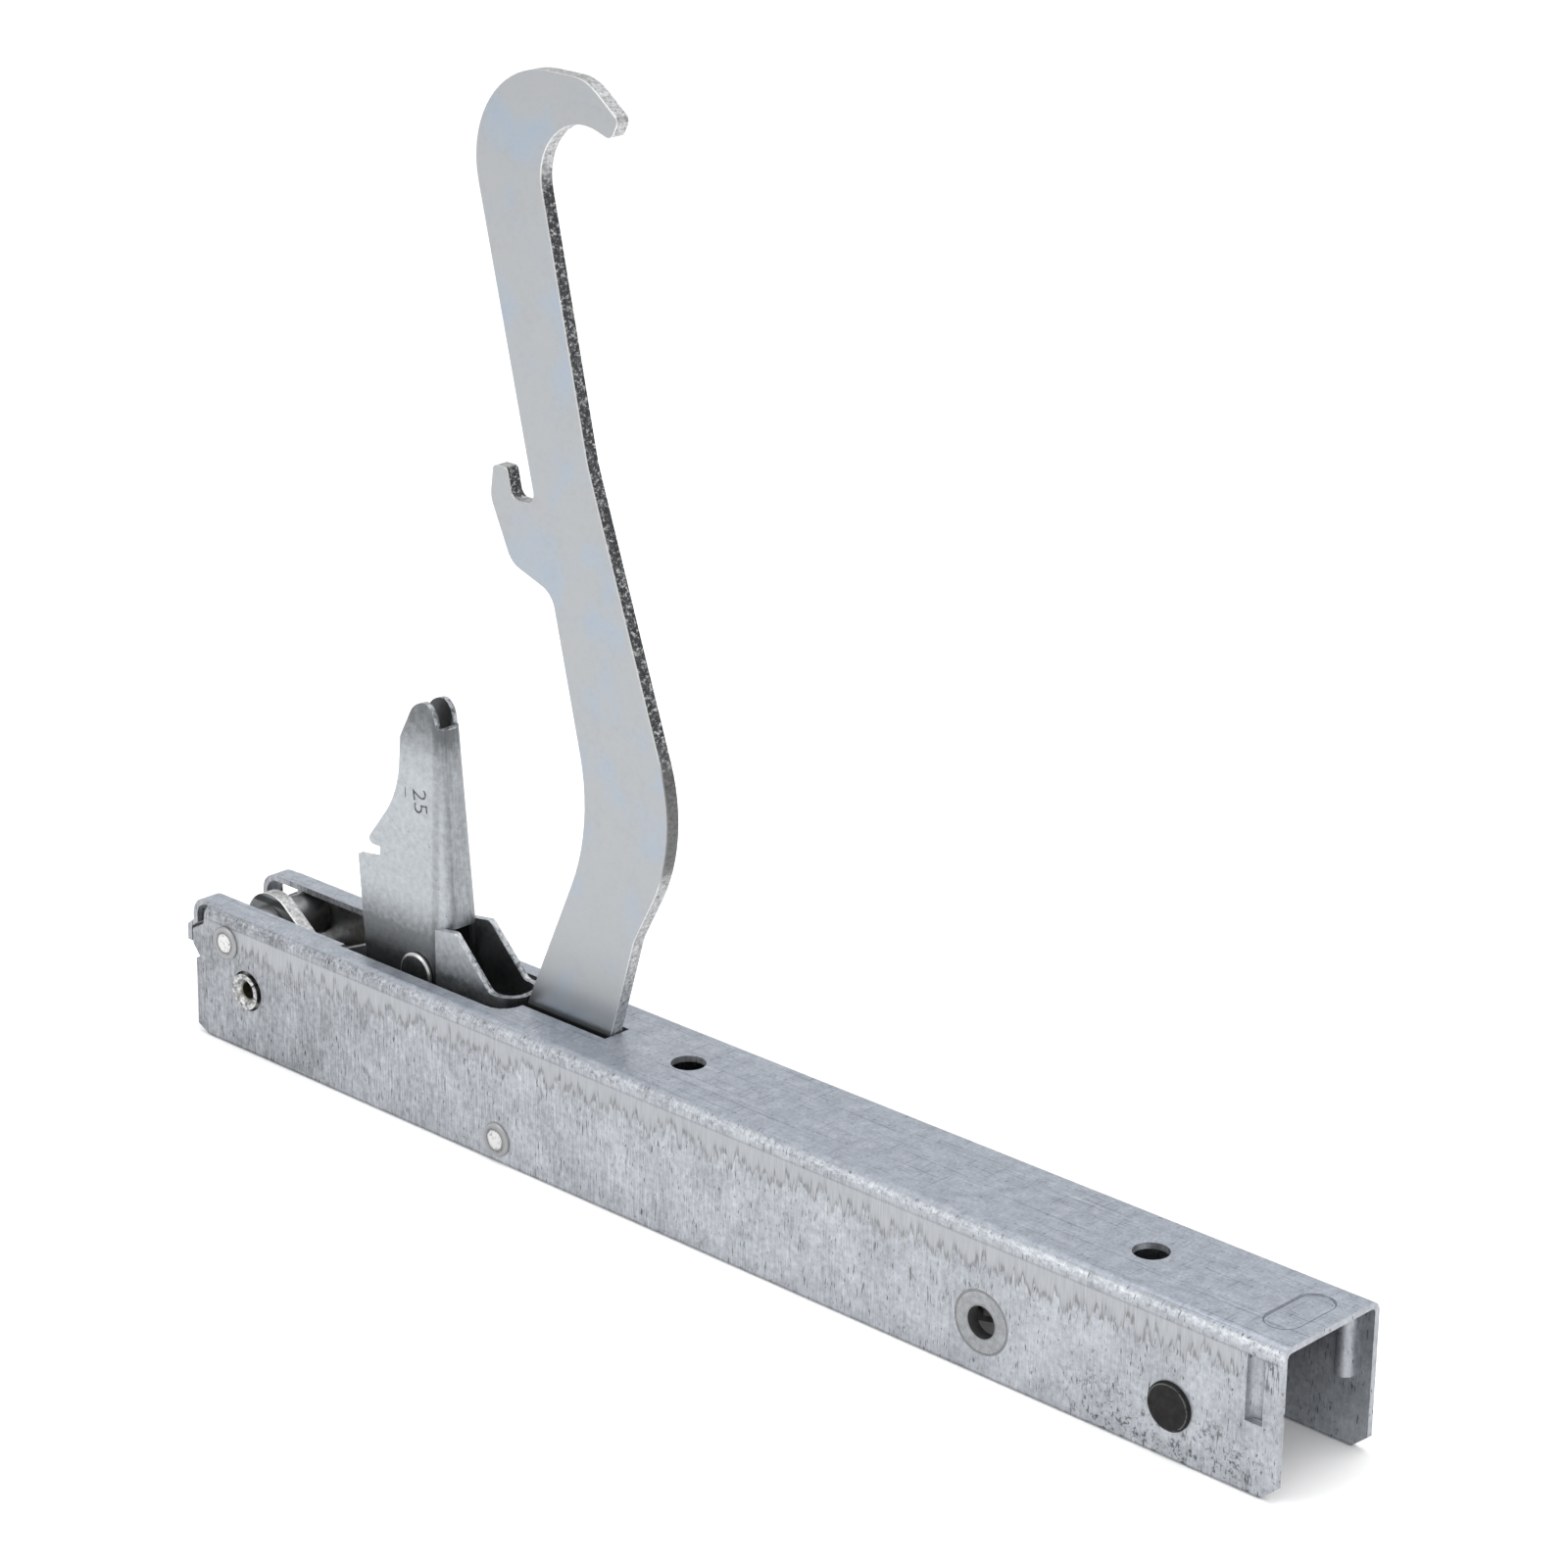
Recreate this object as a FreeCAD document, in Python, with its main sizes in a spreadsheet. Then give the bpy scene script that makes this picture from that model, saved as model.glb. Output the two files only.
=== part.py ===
import FreeCAD, Part
import Sketcher
import math
import os
import re

# Oven door hinge: a U channel with a spring inside, a hooked arm and a locking catch.
# Lengths are in millimetres. Places along the channel are measured from the end of its walls
# by the pivot, heights from the lower edges of the walls, and Y = 0 is the arm's middle plane.
# The origin of the finished part is the middle of its length, level with the wall edges.

SIZES = {
    # Channel, one folded sheet
    "channel_length": 271.6,
    "channel_width": 26.0,
    "channel_height": 28.0,
    "channel_sheet": 1.2,
    "channel_bend": 2.2,
    "corner_cut_length": 3.1,
    "corner_cut_height": 2.6,
    # Slot in the web, wide at the pivot end and narrow where the arm stands
    "slot_mouth_half": 7.0,
    "slot_mouth_end": 38.0,
    "slot_wide_half": 8.2,
    "slot_wide_end": 84.0,
    "slot_narrow_half": 3.15,
    "slot_corner": 4.5,
    "arm_stop_gap": 0.3,
    # Tongues that bend down from the web at the pivot end
    "tongue_width": 4.2,
    "tongue_bend": 4.1,
    "tongue_start": 1.4,
    "tongue_jog": 1.9,
    "tongue_jog_drop": 5.4,
    "tongue_jog_rise": 1.4,
    "tongue_drop": 10.2,
    # Pivot end of the walls
    "wall_relief_length": 3.4,
    "wall_relief_drop": 4.4,
    "wall_nose": 0.9,
    "wall_nose_top": 6.3,
    "wall_nose_low": 9.4,
    "wall_bite": 1.1,
    "wall_bite_drop": 11.8,
    "wall_step_drop": 12.4,
    "toe_cut_length": 3.0,
    "toe_cut_height": 1.5,
    # Screw holes and half-pierced mark in the web
    "web_hole_radius": 3.3,
    "front_hole_gap": 18.6,
    "rear_hole_back": 37.9,
    "mark_back": 6.7,
    "mark_length": 15.0,
    "mark_width": 6.6,
    "mark_depth": 0.3,
    # Lanced ribs on both walls at the far end
    "rib_back": 5.3,
    "rib_width": 3.6,
    "rib_drop": 3.0,
    "rib_length": 12.1,
    "rib_depth": 2.0,
    "rib_groove": 1.7,
    # Clearances shared by all fits
    "running_gap": 0.08,
    "side_gap": 0.15,
    # Pivot of the arm
    "pivot_place": 9.4,
    "pivot_share": 0.77,
    "pivot_radius": 2.5,
    "pivot_head_radius": 3.35,
    "pivot_head_rise": 0.55,
    "spacer_radius": 4.6,
    # Arm, one blanked plate, measured from its pivot
    "arm_thickness": 3.0,
    "eye_radius": 7.0,
    "eye_fall": 37.0,
    "valley_reach": 13.9,
    "valley_drop": 1.75,
    "valley_round": 5.0,
    "arm_reach": 96.5,
    "arm_foot_width": 22.1,
    "arm_foot_lean": 0.288,
    "arm_underside": 12.0,
    "trench_drop": 2.06,
    "trench_round": 3.0,
    "lug_reach": 53.9,
    "lug_rise": 15.44,
    "lug_round": 7.3,
    "bend_inner_reach": 91.95,
    "bend_inner_rise": 46.6,
    "bend_inner_round": 41.5,
    "bend_outer_reach": 114.1,
    "bend_outer_rise": 49.0,
    "bend_outer_round": 34.0,
    "waist_reach": 81.5,
    "waist_rise": 89.2,
    "waist_length": 10.6,
    "waist_round": 5.0,
    "lobe_width": 4.2,
    "lobe_round": 0.8,
    "hook_tip_length": 8.1,
    "hook_tip_round": 10.0,
    "hook_end_width": 3.6,
    "hook_end_round": 1.4,
    "arm_shoulder_rise": 27.1,
    "toe_round": 4.0,
    "knee_reach": 90.6,
    "knee_rise": 115.1,
    "knee_round": 30.0,
    "lobe_reach": 65.5,
    "lobe_rise": 110.4,
    "notch_floor": 104.9,
    "notch_reach": 71.0,
    "notch_width": 6.4,
    "notch_round": 2.0,
    "hook_back_reach": 57.7,
    "hook_rise": 184.8,
    "hook_round": 18.0,
    "hook_tip_reach": 98.5,
    "hook_tip_rise": 178.7,
    "hook_throat_reach": 74.9,
    "hook_throat_rise": 182.0,
    "hook_throat_round": 11.0,
    # Heel of the arm: an involute, so that the slide moves in step with the swing
    "cam_start": 0.6,
    "cam_swing": 88.0,
    "cam_overrun": 1.0,
    "heel_nose": 0.55,
    "heel_nose_round": 0.4,
    # Roller and the slide that it pushes
    "roller_radius": 4.0,
    "roller_half": 2.2,
    "roller_gap": 0.2,
    "axle_radius": 2.0,
    "bar_inner_half": 7.2,
    "bar_thickness": 1.5,
    "bar_half": 3.6,
    "toe_gap": 2.3,
    "rivet_flush": 0.4,
    # Catch, one folded sheet, measured from its pin
    "catch_place": 56.0,
    "catch_rise": 4.84,
    "catch_sheet": 1.2,
    "catch_foot_half": 4.27,
    "catch_tip_half": 2.86,
    "catch_tip_rise": 55.1,
    "catch_back_foot": 9.8,
    "catch_back_tip": 5.6,
    "catch_bend": 2.1,
    "catch_back_low": 11.2,
    "catch_back_top": 50.6,
    "catch_low": 6.5,
    "catch_back_step": 4.5,
    "catch_chin_reach": 14.0,
    "catch_chin_round": 3.0,
    "catch_claw_reach": 17.1,
    "catch_claw_rise": 19.9,
    "catch_notch": 2.2,
    "catch_notch_depth": 6.2,
    "catch_notch_slope": 0.9,
    "catch_lip_reach": 15.0,
    "catch_lip_round": 1.1,
    "catch_neck_reach": 5.75,
    "catch_neck_rise": 35.3,
    "catch_neck_round": 20.0,
    "catch_brow_drop": 8.1,
    "catch_brow_lean": 0.55,
    "catch_brow_round": 4.7,
    "catch_crown_start": 1.1,
    "catch_crown_end": 2.2,
    "catch_crown_round": 0.4,
    "stirrup_half": 5.3,
    "stirrup_sheet": 1.4,
    "stirrup_reach": 27.2,
    "stirrup_round": 4.6,
    "stirrup_low": 4.2,
    "stirrup_top": 2.5,
    "ear_reach": 11.6,
    "ear_rise": 12.0,
    "ear_fall": 9.6,
    "ear_round": 1.5,
    "ear_toe_round": 2.0,
    "catch_pin_radius": 2.5,
    "catch_head_radius": 4.3,
    "catch_head_rise": 0.7,
    "catch_washer_radius": 5.4,
    # Short hollow rivets and the inner cheeks that they hold
    "cheek_sheet": 1.2,
    "cheek_length": 88.5,
    "cheek_start": 3.8,
    "cheek_head_length": 22.0,
    "cheek_slope_length": 12.0,
    "hollow_place": 15.1,
    "hollow_drop": 8.72,
    "hollow_radius": 2.6,
    "hollow_bore": 1.7,
    "hollow_flare": 3.7,
    "hollow_rise": 0.45,
    "hollow_head": 0.9,
    "access_hole_radius": 4.15,
    "access_shift": 0.35,
    # Lower rivet and the sleeves that carry the bars
    "lower_place": 87.1,
    "lower_share": 0.16,
    "lower_radius": 2.5,
    "lower_head_radius": 3.4,
    "guide_radius": 4.53,
    "guide_inner_half": 6.6,
    # Spring, its seats and its rod
    "spring_drop": 3.22,
    "spring_outer": 7.0,
    "spring_wire_radius": 1.2,
    "spring_coils": 16.0,
    "block_length": 12.0,
    "boss_length": 19.0,
    "boss_radius": 4.2,
    "rod_radius": 2.5,
    "rod_overlap": 7.0,
    "rod_end_gap": 1.0,
    "rod_seat_depth": 5.0,
    "seat_length": 9.1,
    "seat_half": 6.9,
    # Black cross pin
    "anchor_back": 22.5,
    "anchor_radius": 3.0,
    "anchor_head_radius": 4.5,
    "anchor_head_rise": 0.75,
    # Pressed bushes in the walls
    "bush_back": 63.8,
    "bush_lift": 0.36,
    "bush_radius": 6.0,
    "bush_bore": 3.06,
    "bush_collar_radius": 6.8,
    "bush_collar": 1.2,
}

CAM_STEPS = 6
WIRE_LENGTHS = 11
WIRE_SIDES = 6

# Places worked out from the sizes, kept as formulas
WEB_BOTTOM = "(channel_height - channel_sheet)"
WALL_OUT = "(channel_width / 2)"
WALL_IN = "(channel_width / 2 - channel_sheet)"
CHEEK_IN = "(channel_width / 2 - channel_sheet - cheek_sheet)"
LIP_REACH = "(tongue_bend - tongue_start + tongue_jog)"
MIDDLE = f"((channel_length - {LIP_REACH}) / 2)"
ROLLER_REACH = "(cam_start + roller_gap + roller_radius)"
THROAT = "(roller_gap + roller_radius)"
SLIDE_TRAVEL = "(cam_base_radius * cam_swing * pi / 180)"
BAR_OUT = "(bar_inner_half + bar_thickness)"
BLOCK_PLACE = f"(pivot_place + {ROLLER_REACH} + bar_length)"
BLOCK_END = f"({BLOCK_PLACE} + block_length / 2)"
ROD_TIP = f"({BLOCK_END} + boss_length - rod_overlap)"
SEAT_FRONT = "(anchor_place - seat_length)"
ARM_HALF = "(arm_thickness / 2)"
WEB_RISE = "(channel_height - pivot_height)"

# Places that follow other sizes: what stands near the far end is measured back from there, the
# slide's bars lie on the sleeves of the lower rivet, and the heel's base circle reaches them
PLACES = {
    "pivot_height": "(pivot_share * channel_height)",
    "lower_height": "(lower_share * channel_height)",
    "slide_height": "(lower_height + guide_radius + side_gap + bar_half)",
    "cam_base_radius": "(pivot_height - slide_height)",
    "spring_height": "(slide_height - spring_drop)",
    "hollow_height": "(pivot_height - hollow_drop)",
    "bush_height": "(spring_height + bush_lift)",
    "catch_height": "(pivot_height + catch_rise)",
    "bar_length": f"(arm_reach + toe_gap + block_length / 2 - {ROLLER_REACH})",
    "slot_end": "(pivot_place + arm_reach + arm_stop_gap)",
    "front_hole_place": "(slot_end + front_hole_gap)",
    "rear_hole_place": "(channel_length - rear_hole_back)",
    "bush_place": "(channel_length - bush_back)",
    "anchor_place": "(channel_length - anchor_back)",
    "mark_place": "(channel_length - mark_back)",
    "rib_place": "(channel_length - rib_back)",
    "rib_top": "(channel_height - rib_drop)",
    "rib_bottom": "(rib_top - rib_length)",
}

SIZE_NAMES = re.compile(r"\b(" + "|".join(SIZES) + r")\b")
PLACE_NAMES = re.compile(r"\b(" + "|".join(PLACES) + r")\b")

doc = FreeCAD.newDocument("oven_door_hinge")
sheet = doc.addObject("Spreadsheet::Sheet", "Sizes")
for row, (name, value) in enumerate(SIZES.items(), start=1):
    sheet.set(f"A{row}", name)
    sheet.set(f"B{row}", repr(value))
    sheet.setAlias(f"B{row}", name)
doc.recompute()


def formula(text):
    """The same formula with its places spelled out and each size written as a cell of the sheet."""
    text = str(text)
    while PLACE_NAMES.search(text):
        text = PLACE_NAMES.sub(lambda found: PLACES[found.group()], text)
    return SIZE_NAMES.sub(r"Sizes.\1", text)


def number(text):
    """The value of a formula now."""
    return float(sheet.evalExpression(formula(text)))


def bind(thing, path, text):
    thing.setExpression(path, formula(text))


def vector(along, up):
    return FreeCAD.Vector(along, up, 0)


# Helpers that draw sketches and make features from them
def new_body(label):
    body = doc.addObject("PartDesign::Body", label)
    body.Label = label
    return body


def place(thing, along="0", across="0", up="0"):
    """Put a sub-part at a place that is measured from the pivot end of the channel."""
    bind(thing, "Placement.Base.x", f"{along} - {MIDDLE}")
    bind(thing, "Placement.Base.y", across)
    bind(thing, "Placement.Base.z", up)


def origin_part(body, role):
    for item in body.Origin.OriginFeatures:
        if item.Role == role:
            return item
    raise RuntimeError(f"{body.Label} has no {role}")


def new_sketch(body, name, role, offset="0"):
    """An empty sketch on one of the body's own origin planes, moved along its normal."""
    sketch = body.newObject("Sketcher::SketchObject", name)
    sketch.AttachmentSupport = [(origin_part(body, role), "")]
    sketch.MapMode = "FlatFace"
    bind(sketch, "AttachmentOffset.Base.z", offset)
    return sketch


def pin_rules(geometry, point, along, up):
    """Two distances from the sketch's origin that fix one point."""
    return [
        (Sketcher.Constraint("DistanceX", -1, 1, geometry, point, number(along)), along),
        (Sketcher.Constraint("DistanceY", -1, 1, geometry, point, number(up)), up),
    ]


def radius_rule(geometry, text):
    return Sketcher.Constraint("Radius", geometry, number(text)), text


def add_rules(sketch, rules):
    """Add constraints together, then bind each one that has a formula."""
    first = sketch.ConstraintCount
    sketch.addConstraint([rule for rule, _ in rules])
    for index, (_, text) in enumerate(rules, start=first):
        if text:
            bind(sketch, f"Constraints[{index}]", text)


def add_circle(sketch, along, up, radius):
    centre = vector(number(along), number(up))
    ring = sketch.addGeometry(Part.Circle(centre, FreeCAD.Vector(0, 0, 1), number(radius)))
    add_rules(sketch, [*pin_rules(ring, 3, along, up), radius_rule(ring, radius)])


def corner_arc(before, corner, after, radius):
    """Start, middle and end of the arc that rounds a corner."""
    to_before = (before - corner).normalize()
    to_after = (after - corner).normalize()
    half = to_before.getAngle(to_after) / 2
    back = radius / math.tan(half)
    bisector = (to_before + to_after).normalize()
    middle = corner + bisector * (radius / math.sin(half) - radius)
    return corner + to_before * back, middle, corner + to_after * back


def add_arc(sketch, start, middle, end):
    """An arc, with the numbers of its points in the order in which the outline meets them."""
    added = sketch.addGeometry(Part.Arc(start, middle, end))
    turns_left = (middle - start).cross(end - middle).z > 0
    return (added, 1, 2) if turns_left else (added, 2, 1)


def add_outline(sketch, steps):
    """A closed outline.

    (x, y) is a sharp corner, (x, y, radius) a rounded one, and (x, y, radius, mid_x, mid_y)
    ends an arc of that radius, which starts at the step before and bends past the middle point.
    """
    points = [vector(number(step[0]), number(step[1])) for step in steps]
    count = len(steps)
    arcs = {}
    for index, step in enumerate(steps):
        if len(step) == 3:
            after = points[(index + 1) % count]
            arcs[index] = corner_arc(points[index - 1], points[index], after, number(step[2]))
    pieces = []
    sides = {}
    rules = []
    for index, step in enumerate(steps):
        last = (index - 1) % count
        start = arcs[last][2] if last in arcs else points[last]
        end = arcs[index][0] if index in arcs else points[index]
        if len(step) == 5:
            middle = vector(number(step[3]), number(step[4]))
            side = add_arc(sketch, start, middle, end)
            rules.append(radius_rule(side[0], step[2]))
        else:
            side = (sketch.addGeometry(Part.LineSegment(start, end)), 1, 2)
        sides[index] = side[0]
        pieces.append((side, False))
        if index in arcs:
            pieces.append((add_arc(sketch, *arcs[index]), True))
            rules.append(radius_rule(pieces[-1][0][0], step[2]))
        else:
            rules += pin_rules(side[0], side[2], step[0], step[1])
    for index, (piece, rounds) in enumerate(pieces):
        following, rounds_next = pieces[(index + 1) % len(pieces)]
        kind = "Tangent" if rounds or rounds_next else "Coincident"
        joined = Sketcher.Constraint(kind, piece[0], piece[2], following[0], following[1])
        rules.append((joined, None))
    for index in arcs:
        corner = sketch.addGeometry(Part.Point(points[index]), True)
        rules += pin_rules(corner, 1, steps[index][0], steps[index][1])
        for side in (sides[index], sides[(index + 1) % count]):
            rules.append((Sketcher.Constraint("PointOnObject", corner, 1, side), None))
    add_rules(sketch, rules)


def arc_steps(along, up, radius, first, last):
    """Two outline steps that follow a circle from one angle to another, in degrees."""
    def spot(angle):
        return f"{along} + {radius} * cos({angle})", f"{up} + {radius} * sin({angle})"

    quarter = (last - first) / 4
    steps = []
    for index in (1, 3):
        middle = spot(first + index * quarter)
        end = spot(first + (index + 1) * quarter)
        steps.append((*end, radius, *middle))
    return steps


def pad(body, sketch, length, symmetric=False, reverse=False):
    feature = body.newObject("PartDesign::Pad", sketch.Name + "_pad")
    feature.Profile = sketch
    bind(feature, "Length", length)
    feature.SideType = "Symmetric" if symmetric else "One side"
    feature.Reversed = reverse
    return feature


def check_cut(body, feature, before):
    doc.recompute()
    if body.Shape.Volume > before - 1e-6:
        raise RuntimeError(f"{feature.Name} cut nothing")


def pocket(body, sketch, length, symmetric=False, reverse=False):
    """A cut that goes against the sketch's normal, or along it when reversed."""
    doc.recompute()
    before = body.Shape.Volume
    feature = body.newObject("PartDesign::Pocket", sketch.Name + "_cut")
    feature.Profile = sketch
    bind(feature, "Length", length)
    feature.SideType = "Symmetric" if symmetric else "One side"
    feature.Reversed = reverse
    check_cut(body, feature, before)
    return feature


def revolve(body, sketch, axis):
    feature = body.newObject("PartDesign::Revolution", sketch.Name + "_turn")
    feature.Profile = sketch
    feature.ReferenceAxis = (sketch, [axis])
    feature.Angle = 360
    return feature


def turned_across(label, steps, along, up):
    """A part turned about Y. Its half section is given as steps of (radius, across)."""
    body = new_body(label)
    sketch = new_sketch(body, label + "_section", "XY_Plane")
    add_outline(sketch, steps)
    revolve(body, sketch, "V_Axis")
    place(body, along, "0", up)
    return body


def drill_across(body, name, holes, length="2 * channel_width"):
    """Round holes along Y, each given as (along, up, radius)."""
    sketch = new_sketch(body, name, "XZ_Plane")
    for hole in holes:
        add_circle(sketch, *hole)
    return pocket(body, sketch, length, symmetric=True)


def mirror_over_middle(body, features):
    """Repeat features on the other side of the arm's plane."""
    mirrored = body.newObject("PartDesign::Mirrored", body.Name + "_mirror")
    mirrored.Originals = features
    mirrored.MirrorPlane = (origin_part(body, "XZ_Plane"), [""])
    body.Tip = mirrored
    return mirrored


# Channel
def make_channel():
    body = new_body("channel")
    section = new_sketch(body, "channel_section", "YZ_Plane", "-wall_nose")
    inner_bend = "channel_bend - channel_sheet"
    add_outline(section, [
        (f"-{WALL_OUT}", "0"),
        (f"-{WALL_IN}", "0"),
        (f"-{WALL_IN}", WEB_BOTTOM, inner_bend),
        (WALL_IN, WEB_BOTTOM, inner_bend),
        (WALL_IN, "0"),
        (WALL_OUT, "0"),
        (WALL_OUT, "channel_height", "channel_bend"),
        (f"-{WALL_OUT}", "channel_height", "channel_bend"),
    ])
    pad(body, section, "channel_length + wall_nose")

    slot = new_sketch(body, "channel_slot", "XY_Plane", WEB_BOTTOM)
    add_outline(slot, [
        ("-2 * wall_nose", "-slot_mouth_half"),
        ("slot_mouth_end", "-slot_mouth_half"),
        ("slot_mouth_end", "-slot_wide_half"),
        ("slot_wide_end", "-slot_wide_half", "slot_corner"),
        ("slot_wide_end", "-slot_narrow_half"),
        ("slot_end", "-slot_narrow_half"),
        ("slot_end", "slot_narrow_half"),
        ("slot_wide_end", "slot_narrow_half"),
        ("slot_wide_end", "slot_wide_half", "slot_corner"),
        ("slot_mouth_end", "slot_wide_half"),
        ("slot_mouth_end", "slot_mouth_half"),
        ("-2 * wall_nose", "slot_mouth_half"),
    ])
    pocket(body, slot, "4 * channel_sheet", symmetric=True)

    screw_holes = new_sketch(body, "channel_screw_holes", "XY_Plane", WEB_BOTTOM)
    for along in ("front_hole_place", "rear_hole_place"):
        add_circle(screw_holes, along, "0", "web_hole_radius")
    pocket(body, screw_holes, "4 * channel_sheet", symmetric=True)

    drill_across(body, "channel_wall_holes", [
        ("pivot_place", "pivot_height", "pivot_radius + running_gap"),
        ("lower_place", "lower_height", "lower_radius + running_gap"),
        ("anchor_place", "spring_height", "anchor_radius + running_gap"),
        ("bush_place", "bush_height", "bush_radius + running_gap"),
        ("hollow_place + access_shift", "hollow_height + access_shift / 2", "access_hole_radius"),
    ])
    cut_wall_ends(body)
    add_tongues(body)
    add_ribs(body)
    add_mark(body)
    place(body)


def cut_wall_ends(body):
    """Both ends of the walls, seen from the side. Each cut overruns the sheet's edge."""
    ends = new_sketch(body, "channel_wall_ends", "XZ_Plane")
    add_outline(ends, [
        ("channel_length + channel_sheet", "-channel_sheet"),
        ("channel_length + channel_sheet", "corner_cut_height"),
        ("channel_length", "corner_cut_height"),
        ("channel_length - corner_cut_length", "0"),
        ("channel_length - corner_cut_length", "-channel_sheet"),
    ])
    add_outline(ends, [
        ("-2 * wall_nose", "-channel_sheet"),
        ("toe_cut_length", "-channel_sheet"),
        ("toe_cut_length", "0"),
        ("0", "toe_cut_height"),
        ("0", "channel_height - wall_step_drop"),
        ("wall_bite", "channel_height - wall_bite_drop"),
        ("-wall_nose", "channel_height - wall_nose_low", "wall_bite"),
        ("-wall_nose", "channel_height - wall_nose_top", "wall_bite"),
        ("wall_relief_length - wall_nose", "channel_height - wall_relief_drop"),
        ("wall_relief_length", "channel_height + channel_sheet"),
        ("-2 * wall_nose", "channel_height + channel_sheet"),
    ])
    pocket(body, ends, "2 * channel_width", symmetric=True)


def add_tongues(body):
    """Strips of the web that bend down beyond the wall ends and jog outward to a lip."""
    outer = "(tongue_start - tongue_bend)"
    jog_top = "(channel_height - tongue_jog_drop)"
    jog_low = "(channel_height - tongue_jog_drop - tongue_jog_rise)"
    sketch = new_sketch(body, "channel_tongue", "XZ_Plane", "slot_mouth_half")
    add_outline(sketch, [
        ("wall_relief_length + channel_bend", "channel_height"),
        (outer, "channel_height", "tongue_bend"),
        (outer, jog_top, "channel_sheet / 2"),
        (f"{outer} - tongue_jog", jog_low, "channel_sheet / 2"),
        (f"{outer} - tongue_jog", "channel_height - tongue_drop"),
        (f"{outer} - tongue_jog + channel_sheet", "channel_height - tongue_drop"),
        (f"{outer} - tongue_jog + channel_sheet", f"{jog_low} - channel_sheet / 4"),
        (f"{outer} + channel_sheet", f"{jog_top} - channel_sheet / 4"),
        (f"{outer} + channel_sheet", WEB_BOTTOM, "tongue_bend - channel_sheet"),
        ("wall_relief_length + channel_bend", WEB_BOTTOM),
    ])
    near = pad(body, sketch, "tongue_width")
    doc.recompute()
    mirror_over_middle(body, [near])


def add_ribs(body):
    """Short ribs pushed inward in both walls, with a groove outside and sheared ends."""
    half, depth = "(rib_width / 2)", "rib_depth"
    bulge = f"(({half} * {half} + {depth} * {depth}) / (2 * {depth}))"
    hollow = f"(({half} * {half} + rib_groove * rib_groove) / (2 * rib_groove))"
    length = "rib_top - rib_bottom"
    ridge = new_sketch(body, "channel_rib", "XY_Plane", "rib_bottom")
    add_outline(ridge, [
        (f"rib_place + {half}", f"-{WALL_IN} - channel_sheet / 4"),
        (f"rib_place + {half}", f"-{WALL_IN}"),
        (f"rib_place - {half}", f"-{WALL_IN}", bulge, "rib_place", f"-{WALL_IN} + {depth}"),
        (f"rib_place - {half}", f"-{WALL_IN} - channel_sheet / 4"),
    ])
    ridge_pad = pad(body, ridge, length)
    doc.recompute()
    mirror_over_middle(body, [ridge_pad])
    for side in ("-", ""):
        groove = new_sketch(body, "channel_groove_" + ("near" if side else "far"), "XY_Plane", "rib_bottom")
        sign = -1 if side else 1
        add_outline(groove, [
            (f"rib_place + {half}", f"{sign} * ({WALL_OUT} + channel_sheet)"),
            (f"rib_place + {half}", f"{sign} * {WALL_OUT}"),
            (f"rib_place - {half}", f"{sign} * {WALL_OUT}", hollow,
             "rib_place", f"{sign} * ({WALL_OUT} - rib_groove)"),
            (f"rib_place - {half}", f"{sign} * ({WALL_OUT} + channel_sheet)"),
        ])
        pocket(body, groove, length, reverse=True)


def add_mark(body):
    """The half-pierced mark: a shallow obround pressed down in the web."""
    reach, half = "((mark_length - mark_width) / 2)", "(mark_width / 2)"
    obround = [
        (f"mark_place - {half}", f"-{reach}"),
        *arc_steps("mark_place", f"-{reach}", half, 180, 360),
        (f"mark_place + {half}", reach),
        *arc_steps("mark_place", reach, half, 0, 180),
    ]
    dent = new_sketch(body, "channel_mark", "XY_Plane", "channel_height")
    add_outline(dent, obround)
    pocket(body, dent, "mark_depth")
    button = new_sketch(body, "channel_mark_back", "XY_Plane", WEB_BOTTOM)
    add_outline(button, obround)
    pad(body, button, "mark_depth", reverse=True)


# Arm
def cam_point(turn):
    """The point of the heel that meets the roller when the arm has swung by turn degrees."""
    roll = f"(cam_start + cam_base_radius * ({turn}) * pi / 180)"
    return (f"{roll} * cos({turn}) - cam_base_radius * sin({turn})",
            f"-{roll} * sin({turn}) - cam_base_radius * cos({turn})", roll)


def heel_steps():
    """The heel as arcs: an involute bends by the length that has been rolled off its circle."""
    steps = []
    for index in range(1, CAM_STEPS + 1):
        swing = "(cam_swing + cam_overrun)"
        along, up, _ = cam_point(f"{swing} * {index} / {CAM_STEPS}")
        mid_along, mid_up, radius = cam_point(f"{swing} * {2 * index - 1} / {2 * CAM_STEPS}")
        steps.append((along, up, radius, mid_along, mid_up))
    return steps


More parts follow.
